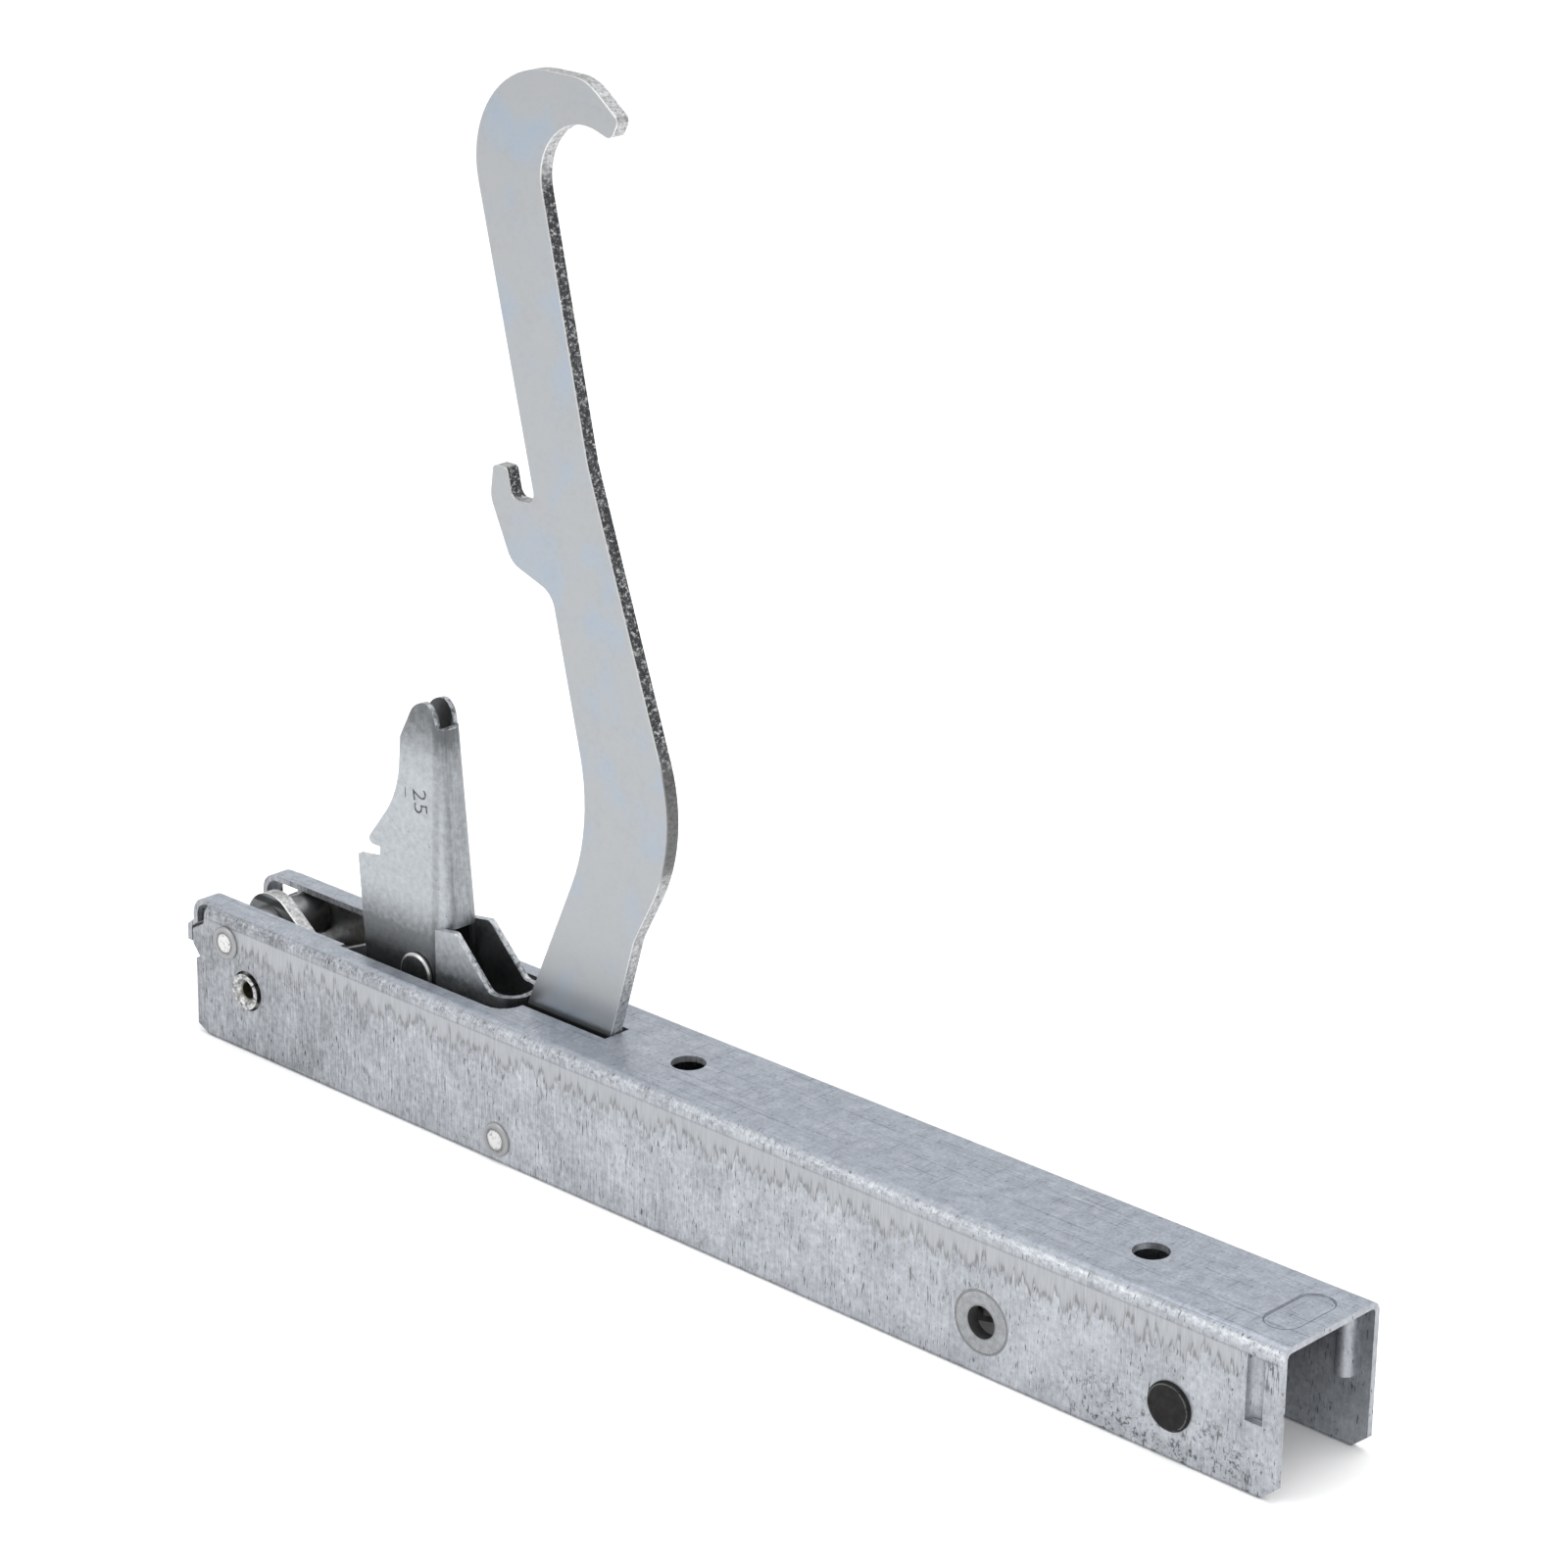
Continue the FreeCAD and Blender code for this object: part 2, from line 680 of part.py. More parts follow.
def make_hook_arm():
    body = new_body("hook_arm")
    end_along, end_up, _ = cam_point("(cam_swing + cam_overrun)")
    left_foot = "(arm_reach - arm_foot_width)"
    foot_corner = f"(arm_reach + arm_foot_lean * (arm_shoulder_rise - {WEB_RISE}))"
    toe = f"(arm_reach - arm_foot_lean * ({WEB_RISE} + arm_underside))"

    outline = new_sketch(body, "arm_outline", "XZ_Plane")
    add_outline(outline, [
        (f"{ROLLER_REACH} + {THROAT}", "-cam_base_radius"),
        *arc_steps(ROLLER_REACH, "-cam_base_radius", THROAT, 0, 180),
        *heel_steps(),
        (f"{end_along} - heel_nose", f"{end_up}", "heel_nose_round"),
        ("-eye_radius", "0"),
        ("eye_radius * sin(eye_fall)", "eye_radius * cos(eye_fall)", "eye_radius",
         "-eye_radius * cos(60)", "eye_radius * sin(60)"),
        ("valley_reach", "-valley_drop", "valley_round"),
        ("lug_reach", "lug_rise", "lug_round"),
        ("lug_reach", "-trench_drop", "trench_round"),
        (left_foot, "-trench_drop", "trench_round"),
        (left_foot, WEB_RISE),
        ("bend_inner_reach", "bend_inner_rise", "bend_inner_round"),
        ("waist_reach", "waist_rise", "waist_round"),
        ("waist_reach - waist_length", "waist_rise + waist_length / 3", "waist_round"),
        ("lobe_reach", "lobe_rise - lobe_width - notch_round", "waist_round"),
        ("lobe_reach + lobe_round", "lobe_rise", "lobe_round"),
        ("lobe_reach + lobe_width", "lobe_rise", "lobe_round"),
        ("notch_reach", "notch_floor", "notch_round"),
        ("notch_reach + notch_width", "notch_floor", "notch_round"),
        ("hook_back_reach", "hook_rise", "hook_round"),
        ("hook_tip_reach - hook_tip_length", "hook_rise", "hook_tip_round"),
        ("hook_tip_reach", "hook_tip_rise", "hook_end_round"),
        ("hook_tip_reach - hook_end_width / 2", "hook_tip_rise - hook_end_width", "hook_end_round"),
        ("hook_throat_reach", "hook_throat_rise", "hook_throat_round"),
        ("knee_reach", "knee_rise", "knee_round"),
        ("bend_outer_reach", "bend_outer_rise", "bend_outer_round"),
        (foot_corner, "arm_shoulder_rise", "hook_tip_round"),
        (toe, "-arm_underside", "toe_round"),
        (f"{ROLLER_REACH} + {THROAT}", "-arm_underside", "lobe_round"),
    ])
    pad(body, outline, "arm_thickness", symmetric=True)
    drill_across(body, "arm_holes", [
        ("0", "0", "pivot_radius + running_gap"),
        ("catch_place - pivot_place", "catch_height - pivot_height", "catch_pin_radius + running_gap"),
    ])
    place(body, "pivot_place", "0", "pivot_height")


# Catch
def catch_width(rise):
    """Half of the catch's outer width at a height above its pin."""
    return f"(catch_foot_half + (catch_tip_half - catch_foot_half) * {rise} / catch_tip_rise)"


def catch_back(rise):
    """Outer face of the catch's back at a height above its pin."""
    return f"(catch_back_foot + (catch_back_tip - catch_back_foot) * {rise} / catch_tip_rise)"


def fold_catch(body):
    """The tapered U: a wedge with two rounded edges at its back, hollowed from its front."""
    low, high, front = "(-2 * catch_low)", "(1.1 * catch_tip_rise)", "(1.3 * catch_claw_reach)"
    taper = new_sketch(body, "catch_taper", "YZ_Plane", f"-{front}")
    add_outline(taper, [
        (f"-{catch_width(low)}", low),
        (catch_width(low), low),
        (catch_width(high), high),
        (f"-{catch_width(high)}", high),
    ])
    pad(body, taper, f"{front} + 2 * catch_back_foot")
    slope = new_sketch(body, "catch_back_slope", "XZ_Plane")
    add_outline(slope, [
        (catch_back(low), low),
        ("3 * catch_back_foot", low),
        ("3 * catch_back_foot", high),
        (catch_back(high), high),
    ])
    wedge = pocket(body, slope, "4 * catch_foot_half", symmetric=True)
    folds = [f"Edge{index}" for index, edge in enumerate(wedge.Shape.Edges, start=1)
             if edge.CenterOfMass.x > 0 and edge.Length > number("catch_tip_rise")]
    bend = body.newObject("PartDesign::Fillet", "catch_bends")
    bend.Base = (wedge, folds)
    bind(bend, "Radius", "catch_bend")
    doc.recompute()
    box = bend.Shape.BoundBox
    open_faces = [f"Face{index}" for index, face in enumerate(bend.Shape.Faces, start=1)
                  if face.CenterOfMass.x < box.XMin + 1e-3
                  or face.CenterOfMass.z < box.ZMin + 1e-3
                  or face.CenterOfMass.z > box.ZMax - 1e-3]
    hollow = body.newObject("PartDesign::Thickness", "catch_sheet_metal")
    hollow.Base = (bend, open_faces)
    bind(hollow, "Value", "catch_sheet")
    hollow.Reversed = True
    doc.recompute()


def make_catch():
    body = new_body("catch")
    fold_catch(body)

    side = new_sketch(body, "catch_side", "XZ_Plane")
    claw, claw_rise = "catch_claw_reach", "catch_claw_rise"
    margin = "(2 * catch_claw_reach)"
    add_outline(side, [
        (f"-{margin}", "-2 * catch_low"),
        (margin, "-2 * catch_low"),
        (margin, "2 * catch_tip_rise"),
        (f"-{margin}", "2 * catch_tip_rise"),
    ])
    notch_top = f"({claw_rise} + catch_notch_slope + catch_notch)"
    add_outline(side, [
        ("-catch_chin_reach", "-catch_low", "catch_chin_round"),
        (f"-{claw}", claw_rise),
        (f"catch_notch_depth - {claw}", f"{claw_rise} + catch_notch_slope"),
        (f"catch_notch_depth - {claw}", notch_top),
        ("-catch_lip_reach", notch_top, "catch_lip_round"),
        ("-catch_neck_reach", "catch_neck_rise", "catch_neck_round"),
        ("catch_brow_lean - catch_neck_reach", "catch_tip_rise - catch_brow_drop"),
        ("-catch_crown_start", "catch_tip_rise", "catch_brow_round"),
        ("catch_crown_end", "catch_tip_rise", "catch_crown_round"),
        ("catch_back_step", "catch_back_top"),
        ("2 * catch_back_foot", "catch_back_top"),
        ("2 * catch_back_foot", "catch_back_low"),
        ("catch_back_foot - catch_bend", "catch_back_low"),
        ("catch_back_foot - catch_bend", "-catch_low"),
    ])
    pocket(body, side, "4 * catch_foot_half", symmetric=True)
    doc.recompute()
    add_stirrup(body)
    drill_across(body, "catch_pin_holes", [("0", "0", "catch_pin_radius + running_gap")])
    place(body, "catch_place", "0", "catch_height")


def add_stirrup(body):
    """The ears below the lever's back, joined round the arm by a bowed bridge."""
    start = "(catch_back_foot - catch_bend - stirrup_sheet)"
    inner = "(stirrup_half - stirrup_sheet)"
    plan = new_sketch(body, "stirrup_plan", "XY_Plane", "-stirrup_low")
    add_outline(plan, [
        (start, "-stirrup_half"),
        ("stirrup_reach", "-stirrup_half", "stirrup_round"),
        ("stirrup_reach", "stirrup_half", "stirrup_round"),
        (start, "stirrup_half"),
        (start, inner),
        ("stirrup_reach - stirrup_sheet", inner, "stirrup_round - stirrup_sheet"),
        ("stirrup_reach - stirrup_sheet", f"-{inner}", "stirrup_round - stirrup_sheet"),
        (start, f"-{inner}"),
    ])
    pad(body, plan, "stirrup_low + stirrup_top")
    ear = new_sketch(body, "stirrup_ear", "XZ_Plane", inner)
    add_outline(ear, [
        (start, "0"),
        (start, "catch_back_low"),
        ("ear_reach", "ear_rise", "ear_round"),
        ("ear_reach + ear_fall", "stirrup_top", "ear_toe_round"),
        ("stirrup_reach - stirrup_round", "stirrup_top"),
        ("stirrup_reach - stirrup_round", "0"),
    ])
    near = pad(body, ear, "stirrup_sheet")
    doc.recompute()
    mirror_over_middle(body, [near])


make_channel()
make_hook_arm()
make_catch()


# Pins, rivets and sleeves
def plain_pin(label, radius, half, along, up):
    return turned_across(label, [
        ("0", f"-{half}"), (radius, f"-{half}"), (radius, half), ("0", half),
    ], along, up)


def headed_pin(label, radius, half, head_radius, head_rise, along, up):
    """A pin with a low head on each side, chamfered by half of its rise."""
    outer, edge = f"({half} + {head_rise})", f"({head_rise} / 2)"
    return turned_across(label, [
        ("0", f"-{outer}"),
        (f"{head_radius} - {edge}", f"-{outer}"),
        (head_radius, f"-{outer} + {edge}"),
        (head_radius, f"-{half}"),
        (radius, f"-{half}"),
        (radius, half),
        (head_radius, half),
        (head_radius, f"{outer} - {edge}"),
        (f"{head_radius} - {edge}", outer),
        ("0", outer),
    ], along, up)


def sleeve(label, radius, hole, start, end, along, up):
    """A tube or washer along Y."""
    return turned_across(label, [
        (hole, start), (radius, start), (radius, end), (hole, end),
    ], along, up)


def make_pins():
    headed_pin("arm_pivot_rivet", "pivot_radius", WALL_OUT, "pivot_head_radius", "pivot_head_rise",
               "pivot_place", "pivot_height")
    headed_pin("lower_rivet", "lower_radius", WALL_OUT, "lower_head_radius", "pivot_head_rise",
               "lower_place", "lower_height")
    headed_pin("anchor_pin", "anchor_radius", WALL_OUT, "anchor_head_radius", "anchor_head_rise",
               "anchor_place", "spring_height")
    headed_pin("catch_pin", "catch_pin_radius", "(catch_foot_half + side_gap)", "catch_head_radius",
               "catch_head_rise", "catch_place", "catch_height")
    pin_half = f"({BAR_OUT} + rivet_flush)"
    plain_pin("roller_axle", "axle_radius", pin_half, f"pivot_place + {ROLLER_REACH}", "slide_height")
    plain_pin("thrust_pin", "axle_radius", pin_half, BLOCK_PLACE, "slide_height")


def make_sleeves():
    roller_place = f"pivot_place + {ROLLER_REACH}"
    sleeve("cam_roller", "roller_radius", "axle_radius + running_gap", "-roller_half", "roller_half",
           roller_place, "slide_height")
    for side, sign in (("near", "-1"), ("far", "1")):
        sleeve(f"pivot_spacer_{side}", "spacer_radius", "pivot_radius + running_gap",
               f"{sign} * ({ARM_HALF} + side_gap)", f"{sign} * ({CHEEK_IN} - side_gap)",
               "pivot_place", "pivot_height")
        sleeve(f"catch_washer_{side}", "catch_washer_radius", "catch_pin_radius + running_gap",
               f"{sign} * ({ARM_HALF} + running_gap)",
               f"{sign} * (catch_foot_half - catch_sheet - 2 * side_gap)",
               "catch_place", "catch_height")
        sleeve(f"guide_bush_{side}", "guide_radius", "lower_radius + running_gap",
               f"{sign} * guide_inner_half", f"{sign} * ({CHEEK_IN} - side_gap)",
               "lower_place", "lower_height")
        make_hollow_rivet(side, sign)
        make_mounting_bush(side, sign)


def make_hollow_rivet(side, sign):
    inner, outer = CHEEK_IN, f"({WALL_OUT} + hollow_rise)"
    turned_across(f"hollow_rivet_{side}", [
        ("hollow_bore", f"{sign} * ({inner} - hollow_head)"),
        ("hollow_flare", f"{sign} * ({inner} - hollow_head)"),
        ("hollow_flare", f"{sign} * {inner}"),
        ("hollow_radius", f"{sign} * {inner}"),
        ("hollow_radius", f"{sign} * ({WALL_IN} + running_gap)"),
        ("hollow_flare", f"{sign} * {outer}"),
        ("hollow_flare - (hollow_flare - hollow_bore) / 2", f"{sign} * {outer}"),
        ("hollow_bore", f"{sign} * ({outer} - (hollow_flare - hollow_bore) / 2)"),
    ], "hollow_place", "hollow_height")


def make_mounting_bush(side, sign):
    turned_across(f"mounting_bush_{side}", [
        ("bush_bore", f"{sign} * ({WALL_IN} - bush_collar)"),
        ("bush_collar_radius", f"{sign} * ({WALL_IN} - bush_collar)"),
        ("bush_collar_radius", f"{sign} * {WALL_IN}"),
        ("bush_radius", f"{sign} * {WALL_IN}"),
        ("bush_radius", f"{sign} * {WALL_OUT}"),
        ("bush_bore", f"{sign} * {WALL_OUT}"),
    ], "bush_place", "bush_height")


# Flat plates inside the channel
def make_plate(label, steps, holes, inner, thickness, sign, along, up):
    """A flat plate on one side of the middle plane, with holes through it."""
    body = new_body(label)
    least = f"-{inner} - {thickness}" if sign < 0 else inner
    face = new_sketch(body, label + "_outline", "XZ_Plane", f"-({least})")
    add_outline(face, steps)
    for hole in holes:
        add_circle(face, *hole)
    pad(body, face, thickness, reverse=True)
    place(body, along, "0", up)
    return body


def make_plates():
    low, top = "toe_cut_height", f"({WEB_BOTTOM} - channel_bend + channel_sheet - side_gap)"
    end = "(cheek_start + cheek_length)"
    strip_top = "(lower_height + guide_radius)"
    cheek = [
        ("cheek_start", low),
        (end, low),
        (end, strip_top),
        ("cheek_start + cheek_head_length + cheek_slope_length", strip_top),
        ("cheek_start + cheek_head_length", top),
        ("cheek_start", top),
    ]
    cheek_holes = [
        ("pivot_place", "pivot_height", "pivot_radius + running_gap"),
        ("hollow_place", "hollow_height", "hollow_radius + running_gap"),
        ("lower_place", "lower_height", "lower_radius + running_gap"),
    ]
    bar = [
        ("bar_length", "-bar_half"),
        *arc_steps("bar_length", "0", "bar_half", -90, 90),
        ("0", "bar_half"),
        *arc_steps("0", "0", "bar_half", 90, 270),
    ]
    bar_holes = [
        ("0", "0", "axle_radius + running_gap"),
        ("bar_length", "0", "axle_radius + running_gap"),
    ]
    for side, sign in (("near", -1), ("far", 1)):
        make_plate(f"cheek_{side}", cheek, cheek_holes, CHEEK_IN, "cheek_sheet", sign, "0", "0")
        make_plate(f"slide_bar_{side}", bar, bar_holes, "bar_inner_half", "bar_thickness", sign,
                   f"pivot_place + {ROLLER_REACH}", "slide_height")


# Spring and what holds it
def make_thrust_block():
    body = new_body("thrust_block")
    axis = "(spring_height - slide_height)"
    face = new_sketch(body, "block_face", "XZ_Plane")
    half = "(block_length / 2)"
    add_outline(face, [
        (f"-{half}", f"{axis} - spring_outer"),
        (half, f"{axis} - spring_outer"),
        (half, f"{axis} + spring_outer"),
        (f"-{half}", f"{axis} + spring_outer"),
    ])
    pad(body, face, "2 * (bar_inner_half - running_gap)", symmetric=True)
    boss = new_sketch(body, "block_boss", "YZ_Plane", half)
    add_circle(boss, "0", axis, "boss_radius")
    pad(body, boss, "boss_length")
    bore_depth = f"(rod_overlap + {SLIDE_TRAVEL} + rod_end_gap)"
    hole = new_sketch(body, "block_bore", "YZ_Plane", f"{half} + boss_length")
    add_circle(hole, "0", axis, "rod_radius + running_gap")
    pocket(body, hole, bore_depth)
    drill_across(body, "block_pin_hole", [("0", "0", "axle_radius + running_gap")])
    place(body, BLOCK_PLACE, "0", "slide_height")


def make_rear_seat():
    body = new_body("rear_spring_seat")
    face = new_sketch(body, "seat_face", "XZ_Plane")
    add_outline(face, [
        ("0", "-spring_outer"),
        ("seat_length", "-spring_outer"),
        ("seat_length", "spring_outer"),
        ("0", "spring_outer"),
    ])
    pad(body, face, "2 * seat_half", symmetric=True)
    drill_across(body, "seat_saddle", [("seat_length", "0", "anchor_radius + running_gap")])
    hole = new_sketch(body, "seat_bore", "YZ_Plane")
    add_circle(hole, "0", "0", "rod_radius + running_gap")
    pocket(body, hole, "rod_seat_depth", reverse=True)
    place(body, SEAT_FRONT, "0", "spring_height")


def make_guide_rod():
    body = new_body("guide_rod")
    end = new_sketch(body, "rod_end", "YZ_Plane")
    add_circle(end, "0", "0", "rod_radius")
    pad(body, end, f"{SEAT_FRONT} + rod_seat_depth - {ROD_TIP}")
    place(body, ROD_TIP, "0", "spring_height")


def make_spring():
    """A wire wound round the rod, from the thrust block to the rear seat.

    The wire is a row of short straight lengths with mitred joints, which keeps its faces few.
    """
    radius = number("spring_wire_radius")
    mean = number("spring_outer") - radius
    start = number(f"{BLOCK_END} + spring_wire_radius + side_gap - {MIDDLE}")
    room = number(f"{SEAT_FRONT} - {BLOCK_END} - 2 * spring_wire_radius - 2 * side_gap")
    lengths = round(number("spring_coils") * WIRE_LENGTHS)
    path = []
    for index in range(lengths + 1):
        turn = 2 * math.pi * index / WIRE_LENGTHS
        along = start + room * index / lengths
        path.append(FreeCAD.Vector(along, mean * math.cos(turn), mean * math.sin(turn)))
    facing = FreeCAD.Rotation(FreeCAD.Vector(0, 0, 1), path[1] - path[0])
    section = []
    for index in range(WIRE_SIDES + 1):
        angle = 2 * math.pi * index / WIRE_SIDES
        spoke = FreeCAD.Vector(radius * math.cos(angle), radius * math.sin(angle), 0)
        section.append(path[0] + facing.multVec(spoke))
    mitred = 1
    wire = Part.makePolygon(path).makePipeShell([Part.makePolygon(section)], True, False, mitred)
    spring = doc.addObject("Part::Feature", "spring")
    spring.Label = "spring"
    spring.Shape = wire
    bind(spring, "Placement.Base.z", "spring_height")
    return spring


make_pins()
make_sleeves()
make_plates()
make_thrust_block()
make_rear_seat()
make_guide_rod()
spring = make_spring()
doc.recompute()

# Check every object, then write one file for each sub-part
for item in doc.Objects:
    if {"Invalid", "Error"} & set(item.State):
        raise RuntimeError(f"{item.Name} failed: {item.State}")
parts = [*doc.findObjects("PartDesign::Body"), spring]
for part in parts:
    if part.Shape.isNull() or not part.Shape.isValid():
        raise RuntimeError(f"{part.Label} has no valid shape")
os.makedirs("parts", exist_ok=True)
for part in parts:
    part.Shape.exportStep(f"parts/{part.Label}.step")
    print(part.Label, round(part.Shape.Volume, 1), len(part.Shape.Solids))
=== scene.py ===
# %% [markdown]
# # Oven door hinge: finishes, small marks, light and camera
# The shapes of this hinge come from its CAD model. This lesson dresses them: it gives each steel
# piece the surface that its trade gave it (hot dip galvanising, bright zinc plating, black oxide,
# a sheared rim, a peened rivet end), adds the few marks that are too fine for the model, and sets
# up a plain white studio. Everything is procedural, so nothing here needs a picture.

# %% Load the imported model
import math

import bmesh
import bpy
from mathutils import Matrix, Vector


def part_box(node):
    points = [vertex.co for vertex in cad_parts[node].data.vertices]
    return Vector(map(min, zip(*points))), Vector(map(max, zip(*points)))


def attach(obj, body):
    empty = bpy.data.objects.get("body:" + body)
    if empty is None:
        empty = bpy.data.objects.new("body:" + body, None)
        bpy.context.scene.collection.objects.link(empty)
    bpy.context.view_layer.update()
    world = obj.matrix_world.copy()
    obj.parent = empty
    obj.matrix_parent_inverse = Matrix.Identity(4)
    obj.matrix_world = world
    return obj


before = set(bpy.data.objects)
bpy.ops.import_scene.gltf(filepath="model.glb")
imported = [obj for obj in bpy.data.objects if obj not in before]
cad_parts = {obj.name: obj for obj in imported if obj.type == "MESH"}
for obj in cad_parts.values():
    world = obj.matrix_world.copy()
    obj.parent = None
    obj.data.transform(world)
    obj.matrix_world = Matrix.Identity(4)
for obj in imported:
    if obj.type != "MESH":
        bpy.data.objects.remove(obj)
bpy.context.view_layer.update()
print("pieces:", len(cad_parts))

# %% [markdown]
# The row frame is in metres, but a sheet metal part is easier to talk about in millimetres. The
# marks are placed from the pieces themselves: from the channel's box, and from the middle of each
# rivet, so a change of the model moves them too.

# %% Places taken from the pieces
MM = 0.001
PIVOT_FROM_END = 9.4


def box_mm(node):
    """Lowest and highest corner of a piece, in millimetres."""
    low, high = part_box(node)
    return low / MM, high / MM


def middle_mm(node):
    """Middle of a piece's box, in millimetres."""
    low, high = box_mm(node)
    return (low + high) / 2


channel_low, channel_high = box_mm("channel")
arm_high = box_mm("hook_arm")[1]
catch_axis = middle_mm("catch_pin")
WALL_START = middle_mm("arm_pivot_rivet").x - PIVOT_FROM_END
print("channel", [round(v, 1) for v in (*channel_low, *channel_high)])


# %% [markdown]
# Shader maths reads badly as a pile of nodes, so this small class wraps one output socket and
# lets Python's own signs add the Math nodes: `mask * 0.5 + 0.2` makes two of them. The reflected
# forms make `1 - mask` work as well.

# %% A number that varies over a surface
class Signal:
    def __init__(self, finish, socket):
        self.finish = finish
        self.socket = socket

    def math(self, operation, *others, first=None):
        """One Math node. With first, that value goes before this one."""
        values = [self, *others] if first is None else [first, self]
        sockets = dict(enumerate(values))
        return self.finish.add("ShaderNodeMath", {"operation": operation}, sockets)

    def __add__(self, other):
        return self.math("ADD", other)

    def __sub__(self, other):
        return self.math("SUBTRACT", other)

    def __mul__(self, other):
        return self.math("MULTIPLY", other)

    def __rsub__(self, other):
        return self.math("SUBTRACT", first=other)

    def __neg__(self):
        return self * -1

    def __lt__(self, other):
        return self.math("LESS_THAN", other)

    __radd__ = __add__
    __rmul__ = __mul__

    def size(self):
        return self.math("ABSOLUTE")

    def swing(self, amount):
        """A noise runs from 0 to 1. This makes it swing about 0, by half the amount each way."""
        return (self - 0.5) * amount

    def step(self, start, end):
        """0 before start, 1 after end, and a soft rise between them."""
        sockets = {"Value": self, "From Min": start, "From Max": end}
        return self.finish.add("ShaderNodeMapRange", {"interpolation_type": "SMOOTHSTEP"}, sockets)

    def near(self, value, reach, soft):
        """1 within reach of a value, falling to 0 over a soft edge."""
        return 1 - (self - value).size().step(reach - soft / 2, reach + soft / 2)


# %% [markdown]
# A finish is one material. Its single `add` method makes any node: the settings go first, because
# some of them change which sockets the node has, then each socket takes a number or a link.
# Coordinates are the object's own, so a mark stays with its piece when the hinge moves.

# %% A material that is built from signals
STREAK_SHIFT = (7.3, 3.7, 5.4)


class Finish:
    def __init__(self, name, **constants):
        self.material = bpy.data.materials.new(name)
        self.material.use_nodes = True
        self.tree = self.material.node_tree
        self.shader = self.tree.nodes["Principled BSDF"]
        for socket, value in constants.items():
            self.shader.inputs[socket.replace("_", " ")].default_value = value
        texture = self.tree.nodes.new("ShaderNodeTexCoord")
        self.normal = self.parts(texture.outputs["Normal"])
        self.place = self.add("ShaderNodeVectorMath", {"operation": "SCALE"},
                              {0: Signal(self, texture.outputs["Object"]), "Scale": 1 / MM})
        self.x, self.y, self.z = self.parts(self.place.socket)

    def parts(self, socket):
        """The three numbers inside a vector."""
        split = self.tree.nodes.new("ShaderNodeSeparateXYZ")
        self.tree.links.new(socket, split.inputs[0])
        return [Signal(self, output) for output in split.outputs]

    def add(self, kind, settings=None, sockets=None, output=0):
        """A new node with its settings and sockets filled in. Returns one of its outputs."""
        node = self.tree.nodes.new(kind)
        for name, value in (settings or {}).items():
            setattr(node, name, value)
        for name, value in (sockets or {}).items():
            if isinstance(value, Signal):
                self.tree.links.new(value.socket, node.inputs[name])
            else:
                node.inputs[name].default_value = value
        return Signal(self, node.outputs[output])

    def stretched(self, x, y, z):
        """The object's place with each axis multiplied, which draws noise out into streaks.

        The shift keeps a flattened axis off a whole number, where this noise is always grey.
        """
        return self.add("ShaderNodeVectorMath", {"operation": "MULTIPLY_ADD"},
                        {0: self.place, 1: (x, y, z), 2: STREAK_SHIFT})

    def noise(self, scale, detail=2.0, rough=0.5, place=None):
        """Soft random lumps from 0 to 1, about 1 / scale millimetres wide."""
        sockets = {"Vector": place or self.place, "Scale": scale, "Detail": detail,
                   "Roughness": rough}
        return self.add("ShaderNodeTexNoise", {}, sockets)

    def drawn(self, stretch, detail=2.0, rough=0.6):
        """Noise drawn out along the axes whose number is small."""
        return self.noise(1.0, detail, rough, self.stretched(*stretch))

    def cells(self, scale):
        """Distance from scattered points, for round dots."""
        return self.add("ShaderNodeTexVoronoi", {}, {"Vector": self.place, "Scale": scale})

    def mix(self, share, below, above):
        """A colour between two colours. The share may be a mask."""
        sockets = {"Factor": share, 6: below, 7: above}
        return self.add("ShaderNodeMix", {"data_type": "RGBA"}, sockets, 2)

    def coats(self, colour, *layers):
        """Layers of (share, colour) laid over a colour, one after another."""
        for share, coat in layers:
            colour = self.mix(share, colour, coat)
        return colour

    def ramp(self, value, stops):
        """A colour that runs through (position, colour) stops as a value rises."""
        node = self.tree.nodes.new("ShaderNodeValToRGB")
        while len(node.color_ramp.elements) < len(stops):
            node.color_ramp.elements.new(1.0)
        for element, (position, colour) in zip(node.color_ramp.elements, stops):
            element.position = position
            element.color = colour
        self.tree.links.new(value.socket, node.inputs[0])
        return Signal(self, node.outputs[0])

    def dents(self, height, strength, depth_mm):
        """A bump normal, for relief that is too fine for geometry."""
        return self.add("ShaderNodeBump", {}, {"Height": height, "Strength": strength,
                                               "Distance": depth_mm * MM})

    def wear(self, **sockets):
        """Link what varies to the shader, such as Base_Color, Roughness or Normal."""
        for name, value in sockets.items():
            self.tree.links.new(value.socket, self.shader.inputs[name.replace("_", " ")])

    def put_on(self, *nodes):
        """Give this material to pieces of the model, by name."""
        for name in nodes:
            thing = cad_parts[name]
            thing.data.materials.clear()
            thing.data.materials.append(self.material)
        print(self.material.name, "on", ", ".join(nodes))


def grey(value, blue=0.0):
    """A steel colour in linear light. Blue above 0 cools it a little."""
    return (value * (1 - blue), value, value * (1 + blue), 1.0)


# %% [markdown]
# ## Galvanised channel
# The sheet was dipped in molten zinc before it was folded. Its walls keep the dull, streaked
# zinc skin with dark pin specks. The folding tool rubbed a smooth grey band below each bend, and
# the rubbed zinc ends in a fringe like drips. The web lay flat under the tool and is smoother,
# with scratches along the channel. A few noises stretched along Z or X draw all of this; one big
# picture would have been the other way, but noise has no seams and no stretching.

